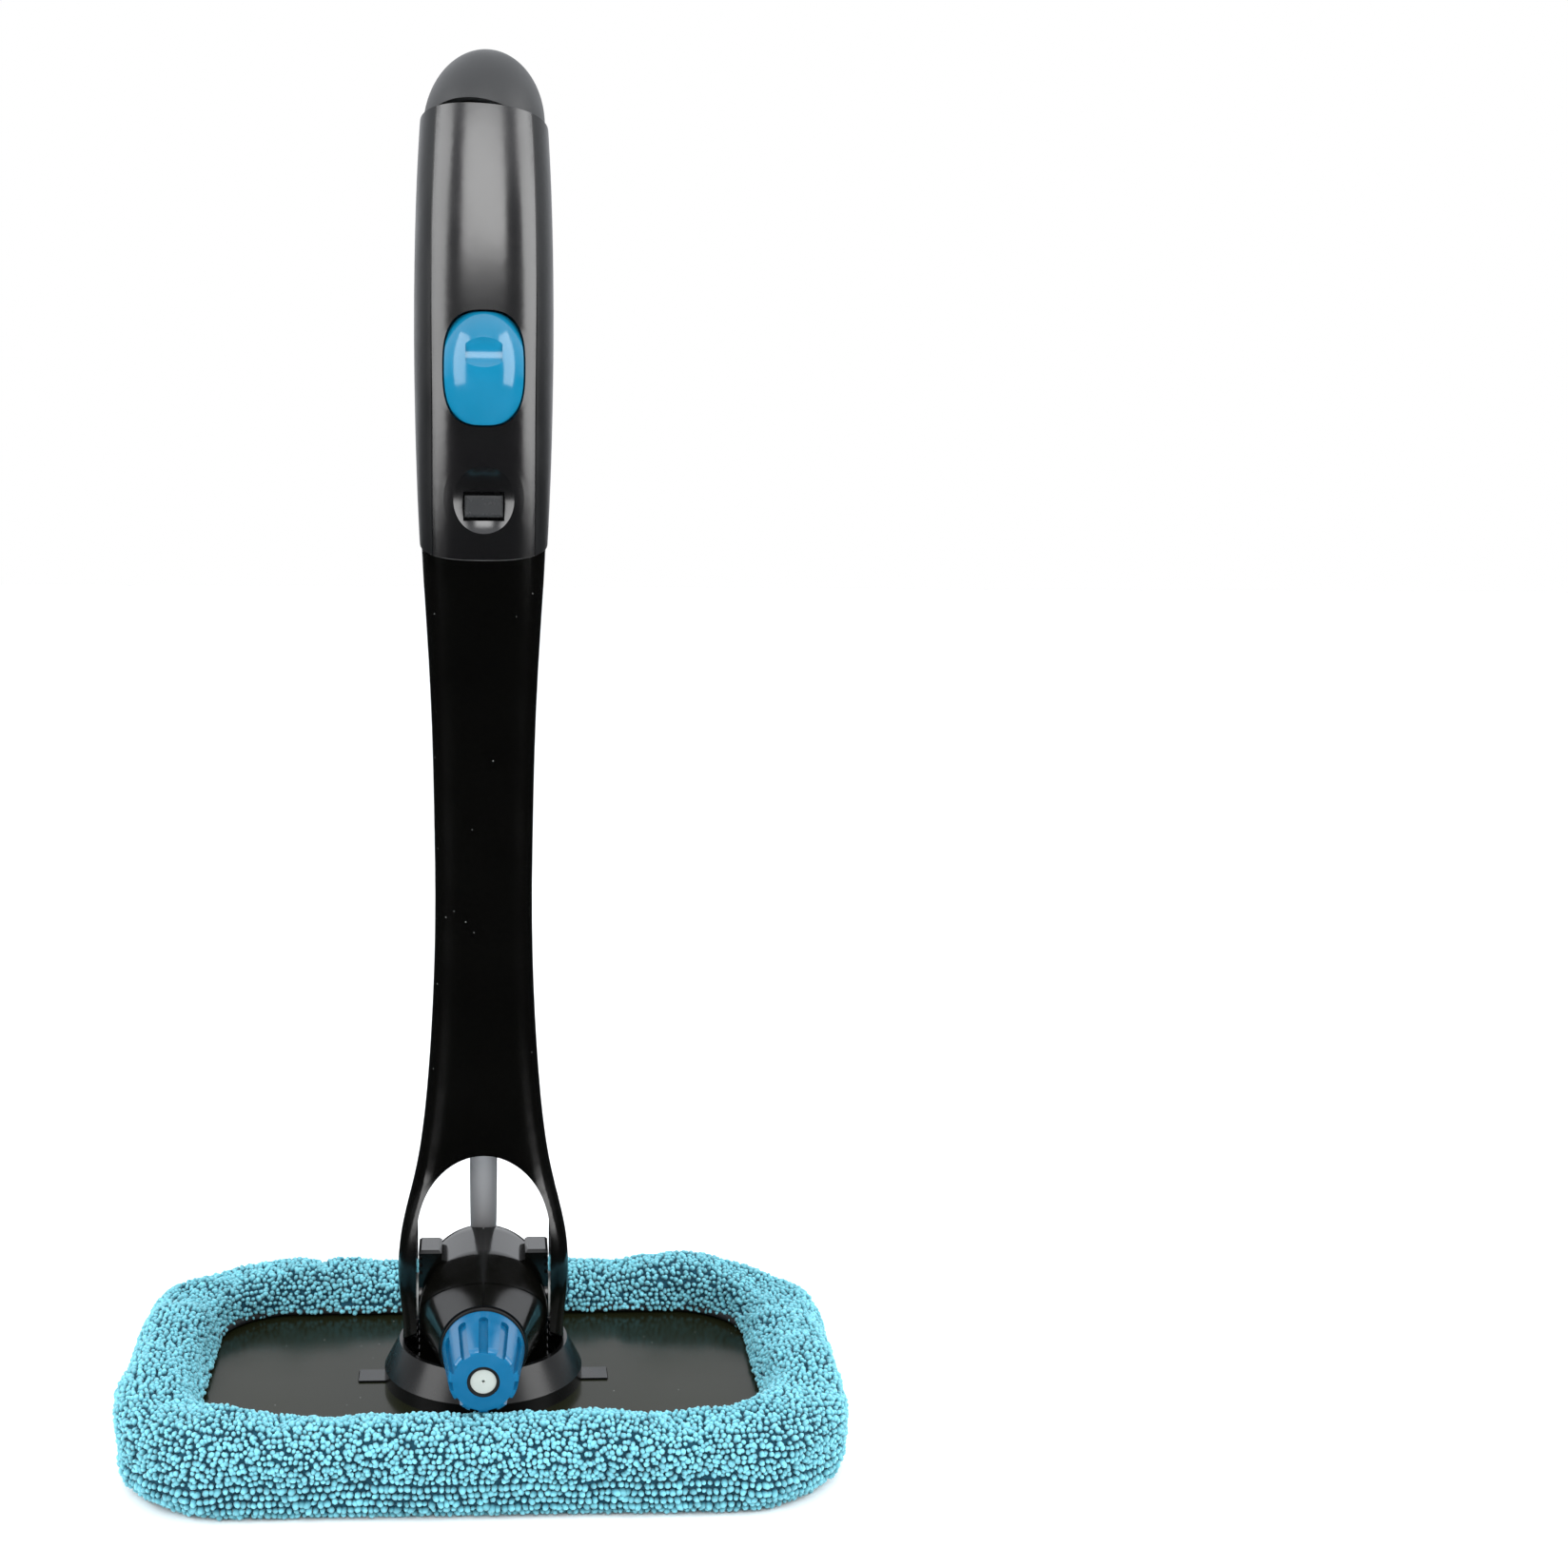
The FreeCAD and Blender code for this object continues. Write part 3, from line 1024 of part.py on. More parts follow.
# --- build --------------------------------------------------------------------
def build():
    whole = knuckle_whole().cut(knuckle_seams())
    return {
        "bonnet": bonnet(),
        "hem_elastic": hem_elastic(),
        "foam_pad": foam_pad(),
        "base_plate": base_plate(),
        "base_screws": base_screws(),
        "collar_ring": collar_ring(),
        "base_disc": base_disc(),
        "knuckle_right": knuckle_half(1, whole),
        "knuckle_left": knuckle_half(-1, whole),
        "knuckle_screws": knuckle_screws(),
        "nozzle_stem": nozzle_stem(),
        "nozzle_seal": nozzle_seal(),
        "nozzle_cap": nozzle_cap(),
        "jet_ring": jet_ring(),
        "jet_disc": jet_disc(),
        "elbow_fitting": elbow_fitting(),
        "flex_hose": flex_hose(),
        "hose_coupler": hose_coupler(),
        "lower_arm": lower_arm(),
        "arm_rear_cover": arm_rear_cover(),
        "pivot_pin_right": pivot_pin(1),
        "pivot_pin_left": pivot_pin(-1),
        "friction_washers": friction_washers(),
        "delivery_tube": delivery_tube(),
        "grip_front_panel": grip_front_panel(),
        "grip_rear_shell": grip_rear_shell(),
        "grip_screws": grip_screws(),
        "joint_gasket": joint_gasket(),
        "pump_bracket": pump_bracket(),
        "pump_barrel": pump_barrel(),
        "pump_gland": pump_gland(),
        "check_balls": check_balls(),
        "outlet_sleeve": outlet_sleeve(),
        "suction_tube": suction_tube(),
        "water_tank": water_tank(),
        "spray_button": spray_button(),
        "pump_piston": pump_piston(),
        "piston_seal": piston_seal(),
        "return_spring": return_spring(),
        "release_latch": release_latch(),
        "latch_spring": latch_spring(),
        "end_cap": end_cap(),
        "plug_ring": plug_ring(),
    }


os.makedirs("parts", exist_ok=True)
for node, shape in build().items():
    shape.exportStep(f"parts/{node}.step")
    print(node, len(shape.Solids), "valid" if shape.isValid() else "INVALID", round(shape.Volume, 1))
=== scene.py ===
import math
import random

import bmesh
import bpy
from mathutils import Euler, Matrix, Vector, bvhtree, noise


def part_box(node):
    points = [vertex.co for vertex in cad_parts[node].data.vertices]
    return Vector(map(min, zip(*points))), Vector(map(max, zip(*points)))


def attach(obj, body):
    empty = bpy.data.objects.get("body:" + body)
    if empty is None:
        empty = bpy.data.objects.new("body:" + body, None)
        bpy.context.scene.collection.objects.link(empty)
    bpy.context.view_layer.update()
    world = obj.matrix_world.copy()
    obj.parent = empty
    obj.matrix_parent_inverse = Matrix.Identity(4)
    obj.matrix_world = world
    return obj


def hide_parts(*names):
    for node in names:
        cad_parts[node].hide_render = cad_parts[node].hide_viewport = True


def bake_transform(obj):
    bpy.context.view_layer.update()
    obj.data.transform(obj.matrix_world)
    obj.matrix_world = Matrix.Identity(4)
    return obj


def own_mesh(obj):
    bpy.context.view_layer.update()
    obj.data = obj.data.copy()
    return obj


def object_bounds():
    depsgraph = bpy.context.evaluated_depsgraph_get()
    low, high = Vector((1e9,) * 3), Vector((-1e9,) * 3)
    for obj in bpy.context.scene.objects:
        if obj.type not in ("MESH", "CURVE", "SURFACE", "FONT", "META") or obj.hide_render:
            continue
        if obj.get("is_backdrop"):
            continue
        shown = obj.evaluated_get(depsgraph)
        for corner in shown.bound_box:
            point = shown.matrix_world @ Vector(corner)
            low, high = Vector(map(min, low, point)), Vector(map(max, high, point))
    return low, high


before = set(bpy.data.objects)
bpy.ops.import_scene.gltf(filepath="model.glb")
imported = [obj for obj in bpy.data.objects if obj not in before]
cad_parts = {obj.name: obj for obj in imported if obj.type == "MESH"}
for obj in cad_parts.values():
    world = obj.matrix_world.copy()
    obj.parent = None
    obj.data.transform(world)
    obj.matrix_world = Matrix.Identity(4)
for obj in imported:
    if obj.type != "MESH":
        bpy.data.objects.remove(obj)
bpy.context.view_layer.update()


# Studio. A pale matt floor under a pale room, with broad soft boxes at both sides and
# high in front, for one small hand tool that stands on its head.
def linear(code):
    """An sRGB hex value as the linear colour that a shader takes."""
    levels = [int(code[i:i + 2], 16) / 255 for i in (0, 2, 4)]
    return [v / 12.92 if v <= 0.04045 else ((v + 0.055) / 1.055) ** 2.4 for v in levels] + [1.0]


def add_node(tree, kind, settings=None, inputs=None):
    """Adds a node, sets its properties, and fills or links its inputs."""
    made = tree.nodes.new(kind)
    for name, value in (settings or {}).items():
        setattr(made, name, value)
    for socket, value in (inputs or {}).items():
        if isinstance(value, bpy.types.NodeSocket):
            tree.links.new(value, made.inputs[socket])
        else:
            made.inputs[socket].default_value = value
    return made


def start_material(name):
    """An empty node material, with Object coordinates ready for its patterns."""
    material = bpy.data.materials.new(name)
    material.use_nodes = True
    tree = material.node_tree
    tree.nodes.clear()
    return material, tree, add_node(tree, "ShaderNodeTexCoord").outputs["Object"]


def end_material(tree, surface):
    """Joins the finished surface to the material's output."""
    add_node(tree, "ShaderNodeOutputMaterial", {}, {"Surface": surface})


# Floor paint: matt off-white with a slow cloudy change of tone. Gloss sees it as if dark
# cards lay round the object, which keeps the polished black deep.
FLOOR_HALF, CLOUD_SIZE = 3.0, 0.4
floor_mesh = bpy.data.meshes.new("floor")
floor_mesh.from_pydata([(-FLOOR_HALF, -FLOOR_HALF, 0), (FLOOR_HALF, -FLOOR_HALF, 0),
                        (FLOOR_HALF, FLOOR_HALF, 0), (-FLOOR_HALF, FLOOR_HALF, 0)], [], [(0, 1, 2, 3)])
floor = bpy.data.objects.new("floor", floor_mesh)
bpy.context.scene.collection.objects.link(floor)
floor_paint, tree, place = start_material("matt_white_paint")
cloud = add_node(tree, "ShaderNodeTexNoise", {}, {"Vector": place, "Scale": 1 / CLOUD_SIZE, "Detail": 2.0})
tone = add_node(tree, "ShaderNodeMix", {"data_type": "RGBA"}, {
    "Factor": cloud.outputs["Fac"], 6: linear("F7F8F8"), 7: linear("FAFAFA")})
paint = add_node(tree, "ShaderNodeBsdfDiffuse", {}, {"Color": tone.outputs[2]})
dark_card = add_node(tree, "ShaderNodeBsdfDiffuse", {}, {"Color": linear("161616")})
ray = add_node(tree, "ShaderNodeLightPath")
card_or_paint = add_node(tree, "ShaderNodeMixShader", {}, {
    0: ray.outputs["Is Glossy Ray"], 1: paint.outputs[0], 2: dark_card.outputs[0]})
end_material(tree, card_or_paint.outputs[0])
floor_mesh.materials.append(floor_paint)
floor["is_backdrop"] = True
bpy.context.scene.view_settings.view_transform = "Standard"

# The room is brightest overhead and behind the wand, and dark in front of it. Seen from the
# camera it is plain white, like the floor's far edge.
ROOM_UPWARD, ROOM_REARWARD = 0.85, 0.45
DARK_FROM, BRIGHT_FROM = -0.35, 0.95
DARK_LEVEL, BRIGHT_LEVEL = 0.04, 1.6
world = bpy.data.worlds.new("studio")
bpy.context.scene.world = world
world.use_nodes = True
tree = world.node_tree
tree.nodes.clear()
heading = add_node(tree, "ShaderNodeSeparateXYZ", {}, {
    "Vector": add_node(tree, "ShaderNodeTexCoord").outputs["Generated"]})
rearward = add_node(tree, "ShaderNodeMath", {"operation": "MULTIPLY"}, {
    0: heading.outputs["Y"], 1: ROOM_REARWARD})
brightness = add_node(tree, "ShaderNodeMath", {"operation": "MULTIPLY_ADD"}, {
    0: heading.outputs["Z"], 1: ROOM_UPWARD, 2: rearward.outputs[0]})
level = add_node(tree, "ShaderNodeMapRange", {"interpolation_type": "SMOOTHSTEP"}, {
    "Value": brightness.outputs[0], 1: DARK_FROM, 2: BRIGHT_FROM, 3: DARK_LEVEL, 4: BRIGHT_LEVEL})
seen = add_node(tree, "ShaderNodeBackground", {}, {"Color": linear("FFFFFF"), "Strength": 1.0})
felt = add_node(tree, "ShaderNodeBackground", {}, {
    "Color": linear("F7FAFF"), "Strength": level.outputs["Result"]})
ray = add_node(tree, "ShaderNodeLightPath")
room = add_node(tree, "ShaderNodeMixShader", {}, {
    0: ray.outputs["Is Camera Ray"], 1: felt.outputs[0], 2: seen.outputs[0]})
add_node(tree, "ShaderNodeOutputWorld", {}, {"Surface": room.outputs[0]})

# Each soft box has its place, its width and height in metres, and its power in watts.
LIT_SPOT = Vector((0, 0, 0.18))
SOFT_BOXES = (
    ("box_left", (-0.80, -0.40, 0.42), (0.55, 1.1), 8.0),
    ("box_right", (0.80, -0.36, 0.42), (0.50, 1.1), 8.0),
    ("box_front", (0.0, -1.15, 0.98), (0.90, 0.60), 10.0),
)
for name, spot, size, power in SOFT_BOXES:
    lamp = bpy.data.lights.new(name, "AREA")
    lamp.shape = "RECTANGLE"
    lamp.size, lamp.size_y = size
    lamp.energy = power
    box = bpy.data.objects.new(name, lamp)
    box.location = spot
    box.rotation_euler = (LIT_SPOT - Vector(spot)).to_track_quat("-Z", "Y").to_euler()
    bpy.context.scene.collection.objects.link(box)

# Camera: in front of the wand and above it, tipped down, with the wand left of the middle
# of the frame. Lens and sensor are in millimetres.
CAMERA_SPOT = (0, -0.620, 0.293)
LENS, SENSOR, SHIFT = 51.73, 36.0, 0.12
PITCH, YAW, ROLL = math.radians(9.59), math.radians(2.89), math.radians(0.51)
lens = bpy.data.cameras.new("camera")
lens.lens, lens.sensor_width, lens.shift_x = LENS, SENSOR, SHIFT
camera = bpy.data.objects.new("camera", lens)
camera.location = CAMERA_SPOT
aim = Euler((math.pi / 2 - PITCH, 0, -YAW)).to_matrix() @ Matrix.Rotation(ROLL, 3, "Z")
camera.rotation_euler = aim.to_euler()
bpy.context.scene.collection.objects.link(camera)
bpy.context.scene.camera = camera


# Spray head plate. A flat ABS tray with rounded corners, moulded glossy black, screwed
# from below to the knuckle. A charcoal polyurethane foam sheet is glued under it.
SPECK_SPACING = 0.0045
SMUDGE_FROM, SMUDGE_TO = 0.3, 0.7


def moulded(name, colour, roughness, smudge, grain, depth, specular=0.5, coat=0.0, dust=0.0):
    """Injection-moulded plastic. Grain and smudge are sizes in metres, and depth is the
    height of the grain. Dust is the radius of a speck as a share of the specks' spacing."""
    material, tree, place = start_material(name)
    cloud = add_node(tree, "ShaderNodeTexNoise", {}, {"Vector": place, "Scale": 1 / smudge, "Detail": 4.0})
    fine = add_node(tree, "ShaderNodeTexNoise", {}, {"Vector": place, "Scale": 1 / grain, "Detail": 2.0})
    tint = add_node(tree, "ShaderNodeMix", {"data_type": "RGBA"}, {
        "Factor": cloud.outputs["Fac"], 6: linear(colour[0]), 7: linear(colour[1])})
    rough = add_node(tree, "ShaderNodeMapRange", {}, {
        "Value": cloud.outputs["Fac"], 1: SMUDGE_FROM, 2: SMUDGE_TO,
        3: roughness[0], 4: roughness[1]})
    colour_out = tint.outputs[2]
    if dust:
        specks = add_node(tree, "ShaderNodeTexVoronoi", {}, {"Vector": place, "Scale": 1 / SPECK_SPACING})
        near = add_node(tree, "ShaderNodeMath", {"operation": "LESS_THAN"}, {
            0: specks.outputs["Distance"], 1: dust})
        colour_out = add_node(tree, "ShaderNodeMix", {"data_type": "RGBA"}, {
            "Factor": near.outputs[0], 6: colour_out, 7: linear("8C908E")}).outputs[2]
    bump = add_node(tree, "ShaderNodeBump", {}, {
        "Height": fine.outputs["Fac"], "Distance": depth, "Strength": 0.6})
    skin = add_node(tree, "ShaderNodeBsdfPrincipled", {}, {
        "Base Color": colour_out, "Roughness": rough.outputs["Result"], "Normal": bump.outputs["Normal"],
        "Specular IOR Level": specular, "Coat Weight": coat, "Coat Roughness": 0.06})
    end_material(tree, skin.outputs["BSDF"])
    return material


def dress(material, *names):
    """Gives CAD nodes one material."""
    for name in names:
        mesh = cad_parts[name].data
        mesh.materials.clear()
        mesh.materials.append(material)


# ABS from a polished mould: near-mirror, with faint smudges and a few dust specks. The
# plate's black is a little olive and shines less.
black_gloss = moulded("abs_piano_black", ("020202", "050504"), (0.10, 0.20), 0.03, 0.0025, 0.000004,
                      specular=0.5, dust=0.03)
plate_gloss = moulded("abs_plate_black", ("14160B", "1C1E10"), (0.12, 0.24), 0.03, 0.002, 0.000006,
                      specular=0.12, dust=0.035)
dress(plate_gloss, "base_plate")

# Open-cell foam: matt, with pores about 0.8 mm across.
PORE_SIZE = 0.0008
foam, tree, place = start_material("polyurethane_foam")
pores = add_node(tree, "ShaderNodeTexVoronoi", {}, {"Vector": place, "Scale": 1 / PORE_SIZE})
cell = add_node(tree, "ShaderNodeMix", {"data_type": "RGBA"}, {
    "Factor": pores.outputs["Distance"], 6: linear("1B1C1E"), 7: linear("4A4C50")})
pits = add_node(tree, "ShaderNodeBump", {}, {"Height": pores.outputs["Distance"], "Distance": 0.0003})
foam_skin = add_node(tree, "ShaderNodeBsdfPrincipled", {}, {
    "Base Color": cell.outputs[2], "Roughness": 0.95, "Normal": pits.outputs["Normal"]})
end_material(tree, foam_skin.outputs["BSDF"])
dress(foam, "foam_pad")

# Zinc-plated steel of the screws and balls: bright, with fine brushing. Its lines are
# drawn 0.3 mm apart, coarser than real ones, so that they show.
BRUSHING = 0.0003
steel, tree, place = start_material("zinc_plated_steel")
lines = add_node(tree, "ShaderNodeTexNoise", {}, {"Vector": place, "Scale": 1 / BRUSHING, "Detail": 2.0})
steel_rough = add_node(tree, "ShaderNodeMapRange", {}, {
    "Value": lines.outputs["Fac"], 3: 0.22, 4: 0.42})
steel_skin = add_node(tree, "ShaderNodeBsdfPrincipled", {}, {
    "Base Color": linear("B9BBBD"), "Metallic": 1.0, "Roughness": steel_rough.outputs["Result"]})
end_material(tree, steel_skin.outputs["BSDF"])
dress(steel, "base_screws", "knuckle_screws", "grip_screws", "check_balls")

# Collar and base disc. An ABS ring snapped over the knuckle's round foot, in the same
# black as the knuckle but from a mould with a softer satin finish.
black_satin = moulded("abs_satin_black", ("060606", "0B0B0B"), (0.20, 0.32), 0.02, 0.0004, 0.000006,
                      specular=0.35)
dress(black_satin, "collar_ring", "base_disc")

# Knuckle. Two ABS half shells, left and right, closed by cross screws: a domed barrel
# with a tapered snout. Polished black, with smudges from handling.
knuckle_black = moulded("abs_knuckle_black", ("040403", "0A0A08"), (0.10, 0.22), 0.012, 0.0006, 0.000005,
                        specular=0.5)
dress(knuckle_black, "knuckle_right", "knuckle_left")

# Spray nozzle. A blue fluted acetal cap turns on a threaded tube, over a rubber washer.
# A grey disc with one pinhole sits in a ring in its face, which takes the dark rubber finish
# as painted shade for the groove round the disc. Moulded acetal has a soft, slightly waxy
# sheen, and nitrile rubber is matt.
nozzle_blue = moulded("acetal_blue", ("06567E", "0A6590"), (0.16, 0.26), 0.006, 0.0005, 0.00001)
rubber = moulded("nitrile_rubber_and_groove_shade", ("0A0A0A", "121212"), (0.55, 0.75), 0.004, 0.0004, 0.00001)
white_acetal = moulded("acetal_white", ("D9DDDA", "E6E8E6"), (0.3, 0.4), 0.003, 0.0003, 0.000004)
disc_grey = moulded("acetal_grey", ("A6ADA8", "B2B9B3"), (0.3, 0.45), 0.003, 0.0003, 0.000004)
dress(nozzle_blue, "nozzle_cap")
# Painted shade: the jet ring takes the dark rubber to stand for the shade in the groove round the disc.
dress(rubber, "nozzle_seal", "jet_ring", "piston_seal", "plug_ring")
dress(white_acetal, "nozzle_stem", "elbow_fitting", "hose_coupler", "pump_piston", "pump_gland",
      "friction_washers")
dress(disc_grey, "jet_disc")

# Fork and arm. One long ABS moulding, polished black, with its back closed by a snap-in
# cover in satin black. It turns on two pins in the knuckle.
dress(black_gloss, "lower_arm")
dress(black_satin, "arm_rear_cover", "pivot_pin_right", "pivot_pin_left")

# Water hose. Grey thermoplastic tube, extruded, pushed on the elbow in the knuckle and
# on the coupler in the arm. It leaves the knuckle leaning forward, then stands upright.
HOSE_LEAN, HOSE_BORE = math.radians(17.9), 0.0020
HOSE_SWELL = 0.13
BEND_SETBACK = 0.45
HOSE_SIDES, LOWER_STEPS, BEND_STEPS, UPPER_STEPS = 40, 30, 10, 8
low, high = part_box("flex_hose")
hose_radius = (high.x - low.x) / 2
hose_foot = Vector((0, high.y - hose_radius * math.cos(HOSE_LEAN),
                    low.z + hose_radius * math.sin(HOSE_LEAN)))
hose_head = Vector((0, low.y + hose_radius, high.z))
hose_bend = Vector((0, hose_head.y, hose_foot.z + (hose_foot.y - hose_head.y) / math.tan(HOSE_LEAN)))
run_in, run_out = hose_bend - hose_foot, hose_head - hose_bend
setback = BEND_SETBACK * min(run_in.length, run_out.length)
bend_from = hose_bend - run_in.normalized() * setback
bend_to = hose_bend + run_out.normalized() * setback
route = [hose_foot.lerp(bend_from, i / LOWER_STEPS) for i in range(LOWER_STEPS)]
for i in range(BEND_STEPS + 1):
    share = i / BEND_STEPS
    route.append(bend_from.lerp(hose_bend, share).lerp(hose_bend.lerp(bend_to, share), share))
route += [bend_to.lerp(hose_head, i / UPPER_STEPS) for i in range(1, UPPER_STEPS + 1)]

# Rings run up the outside, a little swollen in the middle, and back down the bore.
last = len(route) - 1
stations = []
for i in range(last + 1):
    stations.append((i, hose_radius * (1 + HOSE_SWELL * math.sin(math.pi * i / last) ** 0.5)))
stations += [(i, HOSE_BORE) for i in range(last, -1, -1)]
turns = [2 * math.pi * k / HOSE_SIDES for k in range(HOSE_SIDES)]
hose_net = bmesh.new()
rings = []
for i, radius in stations:
    along = route[min(i + 1, last)] - route[max(i - 1, 0)]
    upright = Vector((0, 0, 1)).rotation_difference(along.normalized())
    rings.append([
        hose_net.verts.new(route[i] + upright @ Vector((radius * math.cos(turn), radius * math.sin(turn), 0)))
        for turn in turns])
for ring, following in zip(rings, rings[1:] + rings[:1]):
    for k in range(HOSE_SIDES):
        after = (k + 1) % HOSE_SIDES
        hose_net.faces.new((ring[k], ring[after], following[after], following[k]))
bmesh.ops.recalc_face_normals(hose_net, faces=hose_net.faces)
hose_mesh = bpy.data.meshes.new("water_hose")
hose_net.to_mesh(hose_mesh)
hose_net.free()
hose_mesh.shade_smooth()
hose_mesh.set_sharp_from_angle(angle=math.radians(40))
hose = bpy.data.objects.new("water_hose", hose_mesh)
bpy.context.scene.collection.objects.link(hose)

# Extruded tube is matt, with fine drawn lines along it. This one is darker near the knuckle.
DARK_END, PALE_END = 0.006, 0.008
DRAWN_LINES = 0.0005
hose_grey, tree, place = start_material("thermoplastic_grey")
spot = add_node(tree, "ShaderNodeSeparateXYZ", {}, {"Vector": place})
fade = add_node(tree, "ShaderNodeMapRange", {"clamp": True}, {
    "Value": spot.outputs["Z"], 1: low.z + DARK_END, 2: high.z - PALE_END})
stretch = add_node(tree, "ShaderNodeMapping", {}, {"Vector": place, "Scale": (1.0, 1.0, 0.02)})
drawn = add_node(tree, "ShaderNodeTexNoise", {}, {
    "Vector": stretch.outputs["Vector"], "Scale": 1 / DRAWN_LINES})
hose_tint = add_node(tree, "ShaderNodeMix", {"data_type": "RGBA"}, {
    "Factor": fade.outputs["Result"], 6: linear("8C8C8E"), 7: linear("C6C6C8")})
hose_lines = add_node(tree, "ShaderNodeBump", {}, {"Height": drawn.outputs["Fac"], "Distance": 0.00003})
hose_skin = add_node(tree, "ShaderNodeBsdfPrincipled", {}, {
    "Base Color": hose_tint.outputs[2], "Roughness": 0.55, "Normal": hose_lines.outputs["Normal"]})
end_material(tree, hose_skin.outputs["BSDF"])
hose_mesh.materials.append(hose_grey)
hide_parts("flex_hose")
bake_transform(hose)

# Springs of the button and the latch. Zinc-plated steel coils, seated at their rear ends.
SPRINGS = (
    ("return_spring", "spray_press", 0.005),
    ("latch_spring", "latch_press", 0.0025),
)
for name, joint, travel in SPRINGS:
    coil_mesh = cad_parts[name].data.copy()
    coil_mesh.transform(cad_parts[name].matrix_world)
    coil_mesh.materials.clear()
    coil_mesh.materials.append(steel)
    wound = bpy.data.objects.new(name + "_coil", coil_mesh)
    bpy.context.scene.collection.objects.link(wound)
    low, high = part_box(name)
    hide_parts(name)
    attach(wound, "handle")
    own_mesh(wound)

# Grip. A glossy black ABS front panel is screwed from behind to a softer grey-black rear
# shell in satin ABS. The thin gasket ring where the grip meets the arm is pale grey, a
# painted highlight for the bright edge along the joint.
grip_satin = moulded("abs_charcoal_satin", ("0D0E0F", "131415"), (0.28, 0.40), 0.02, 0.0004, 0.00001,
                     specular=0.35)
gasket_painted_highlight = moulded("abs_grey_painted_highlight", ("D8D8D8", "E6E6E6"), (0.3, 0.4), 0.01, 0.0004, 0.000004)
panel_gloss = moulded("abs_panel_black", ("0A0A0B", "101011"), (0.18, 0.28), 0.03, 0.0025, 0.000006,
                      specular=0.8)
dress(panel_gloss, "grip_front_panel")
dress(grip_satin, "grip_rear_shell")
# Painted highlight: the gasket is pale grey so that the joint line shows as a bright edge.
dress(gasket_painted_highlight, "joint_gasket")

# Pump, tank and water line, inside the grip and the arm. Barrel and piston are natural
# acetal, and tank and tubes are clear polypropylene, which is slightly hazy.
HAZE_SIZE = 0.004
clear_plastic, tree, place = start_material("polypropylene_clear")
haze = add_node(tree, "ShaderNodeTexNoise", {}, {"Vector": place, "Scale": 1 / HAZE_SIZE})
haze_rough = add_node(tree, "ShaderNodeMapRange", {}, {"Value": haze.outputs["Fac"], 3: 0.15, 4: 0.4})
clear_skin = add_node(tree, "ShaderNodeBsdfPrincipled", {}, {
    "Base Color": linear("DCE6E8"), "Roughness": haze_rough.outputs["Result"], "IOR": 1.49,
    "Transmission Weight": 0.7})
end_material(tree, clear_skin.outputs["BSDF"])
dress(clear_plastic, "water_tank", "delivery_tube", "suction_tube", "outlet_sleeve")
dress(white_acetal, "pump_barrel")
dress(black_satin, "pump_bracket")

# Spray button and release latch. The button is glossy sky-blue ABS with a thumb scoop and
# a faint clear coat. The latch is a small tab in a dish, in dark grey satin ABS.
button_blue = moulded("abs_sky_blue", ("0B6686", "0F7094"), (0.12, 0.20), 0.01, 0.0006, 0.000005,
                      coat=0.2)
dress(button_blue, "spray_button")
latch_satin = moulded("abs_latch_black", ("2C2D2E", "353637"), (0.22, 0.32), 0.004, 0.0004, 0.000006)
dress(latch_satin, "release_latch")

# Filler cap. A domed stopper in matt grey ABS that pulls out of the grip's end, to open
# the neck of the water tank.
cap_grey = moulded("abs_matt_grey", ("222324", "292A2B"), (0.42, 0.55), 0.015, 0.0005, 0.000015)
dress(cap_grey, "end_cap")

# Bonnet. A looped microfibre cover knitted in rows, sewn as a shallow bag that is pulled
# over the foam and the tray. A round elastic in its hem draws the mouth in above the tray,
# so the rim stands up as a soft roll with shallow folds. It lies flat where it rests.
SKIN_INSET, CROWN_RISE = 0.0009, 0.0010
CORNER, MOUTH_CORNER, LEAST_CORNER = 0.032, 0.020, 0.001
MOUTH_SLACK = 0.0025
FOOT_ROUND, SHOULDER, LIP_ROUND = 0.006, 0.0095, 0.0062
EDGE_COUNTS = (60, 36, 14)
low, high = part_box("bonnet")
tray_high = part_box("base_plate")[1]
foam_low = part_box("foam_pad")[0]
band_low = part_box("hem_elastic")[0]
outer_x, outer_y = high.x - SKIN_INSET, high.y - SKIN_INSET
floor_z, crown_z = SKIN_INSET, high.z + CROWN_RISE
mouth_x, mouth_y = -band_low.x - MOUTH_SLACK, -band_low.y - MOUTH_SLACK
reach = outer_x - mouth_x


def rounded_ring(inset, height):
    """One closed ring of points round the bonnet, as far in from its widest outline as the inset."""
    share = min(inset / reach, 1.0)
    deeper = max(inset - reach, 0.0)
    half_x = outer_x + share * (mouth_x - outer_x) - deeper
    half_y = outer_y + share * (mouth_y - outer_y) - deeper
    corner = max(CORNER + share * (MOUTH_CORNER - CORNER) - deeper, LEAST_CORNER)
    long_count, short_count, turn_count = EDGE_COUNTS
    points = []
    for quarter in range(4):
        across, up = ((1, 1), (-1, 1), (-1, -1), (1, -1))[quarter]
        centre = Vector((across * (half_x - corner), up * (half_y - corner), height))
        for i in range(turn_count):
            angle = math.pi / 2 * (quarter + i / turn_count)
            points.append(centre + corner * Vector((math.cos(angle), math.sin(angle), 0)))
        start = centre + corner * Vector((math.cos(math.pi / 2 * (quarter + 1)),
                                          math.sin(math.pi / 2 * (quarter + 1)), 0))
        if quarter % 2 == 0:
            run, count = Vector((-2 * across * (half_x - corner), 0, 0)), long_count
        else:
            run, count = Vector((0, -2 * up * (half_y - corner), 0)), short_count
        points += [start + run * (i / count) for i in range(count)]
    return points


def arc(centre_inset, centre_z, radius, first, last, steps):
    """Profile points on a round, with angle 0 towards the outside and 90 upwards."""
    turns = [math.radians(first + (last - first) * i / steps) for i in range(steps + 1)]
    return [(centre_inset - radius * math.cos(t), centre_z + radius * math.sin(t)) for t in turns]


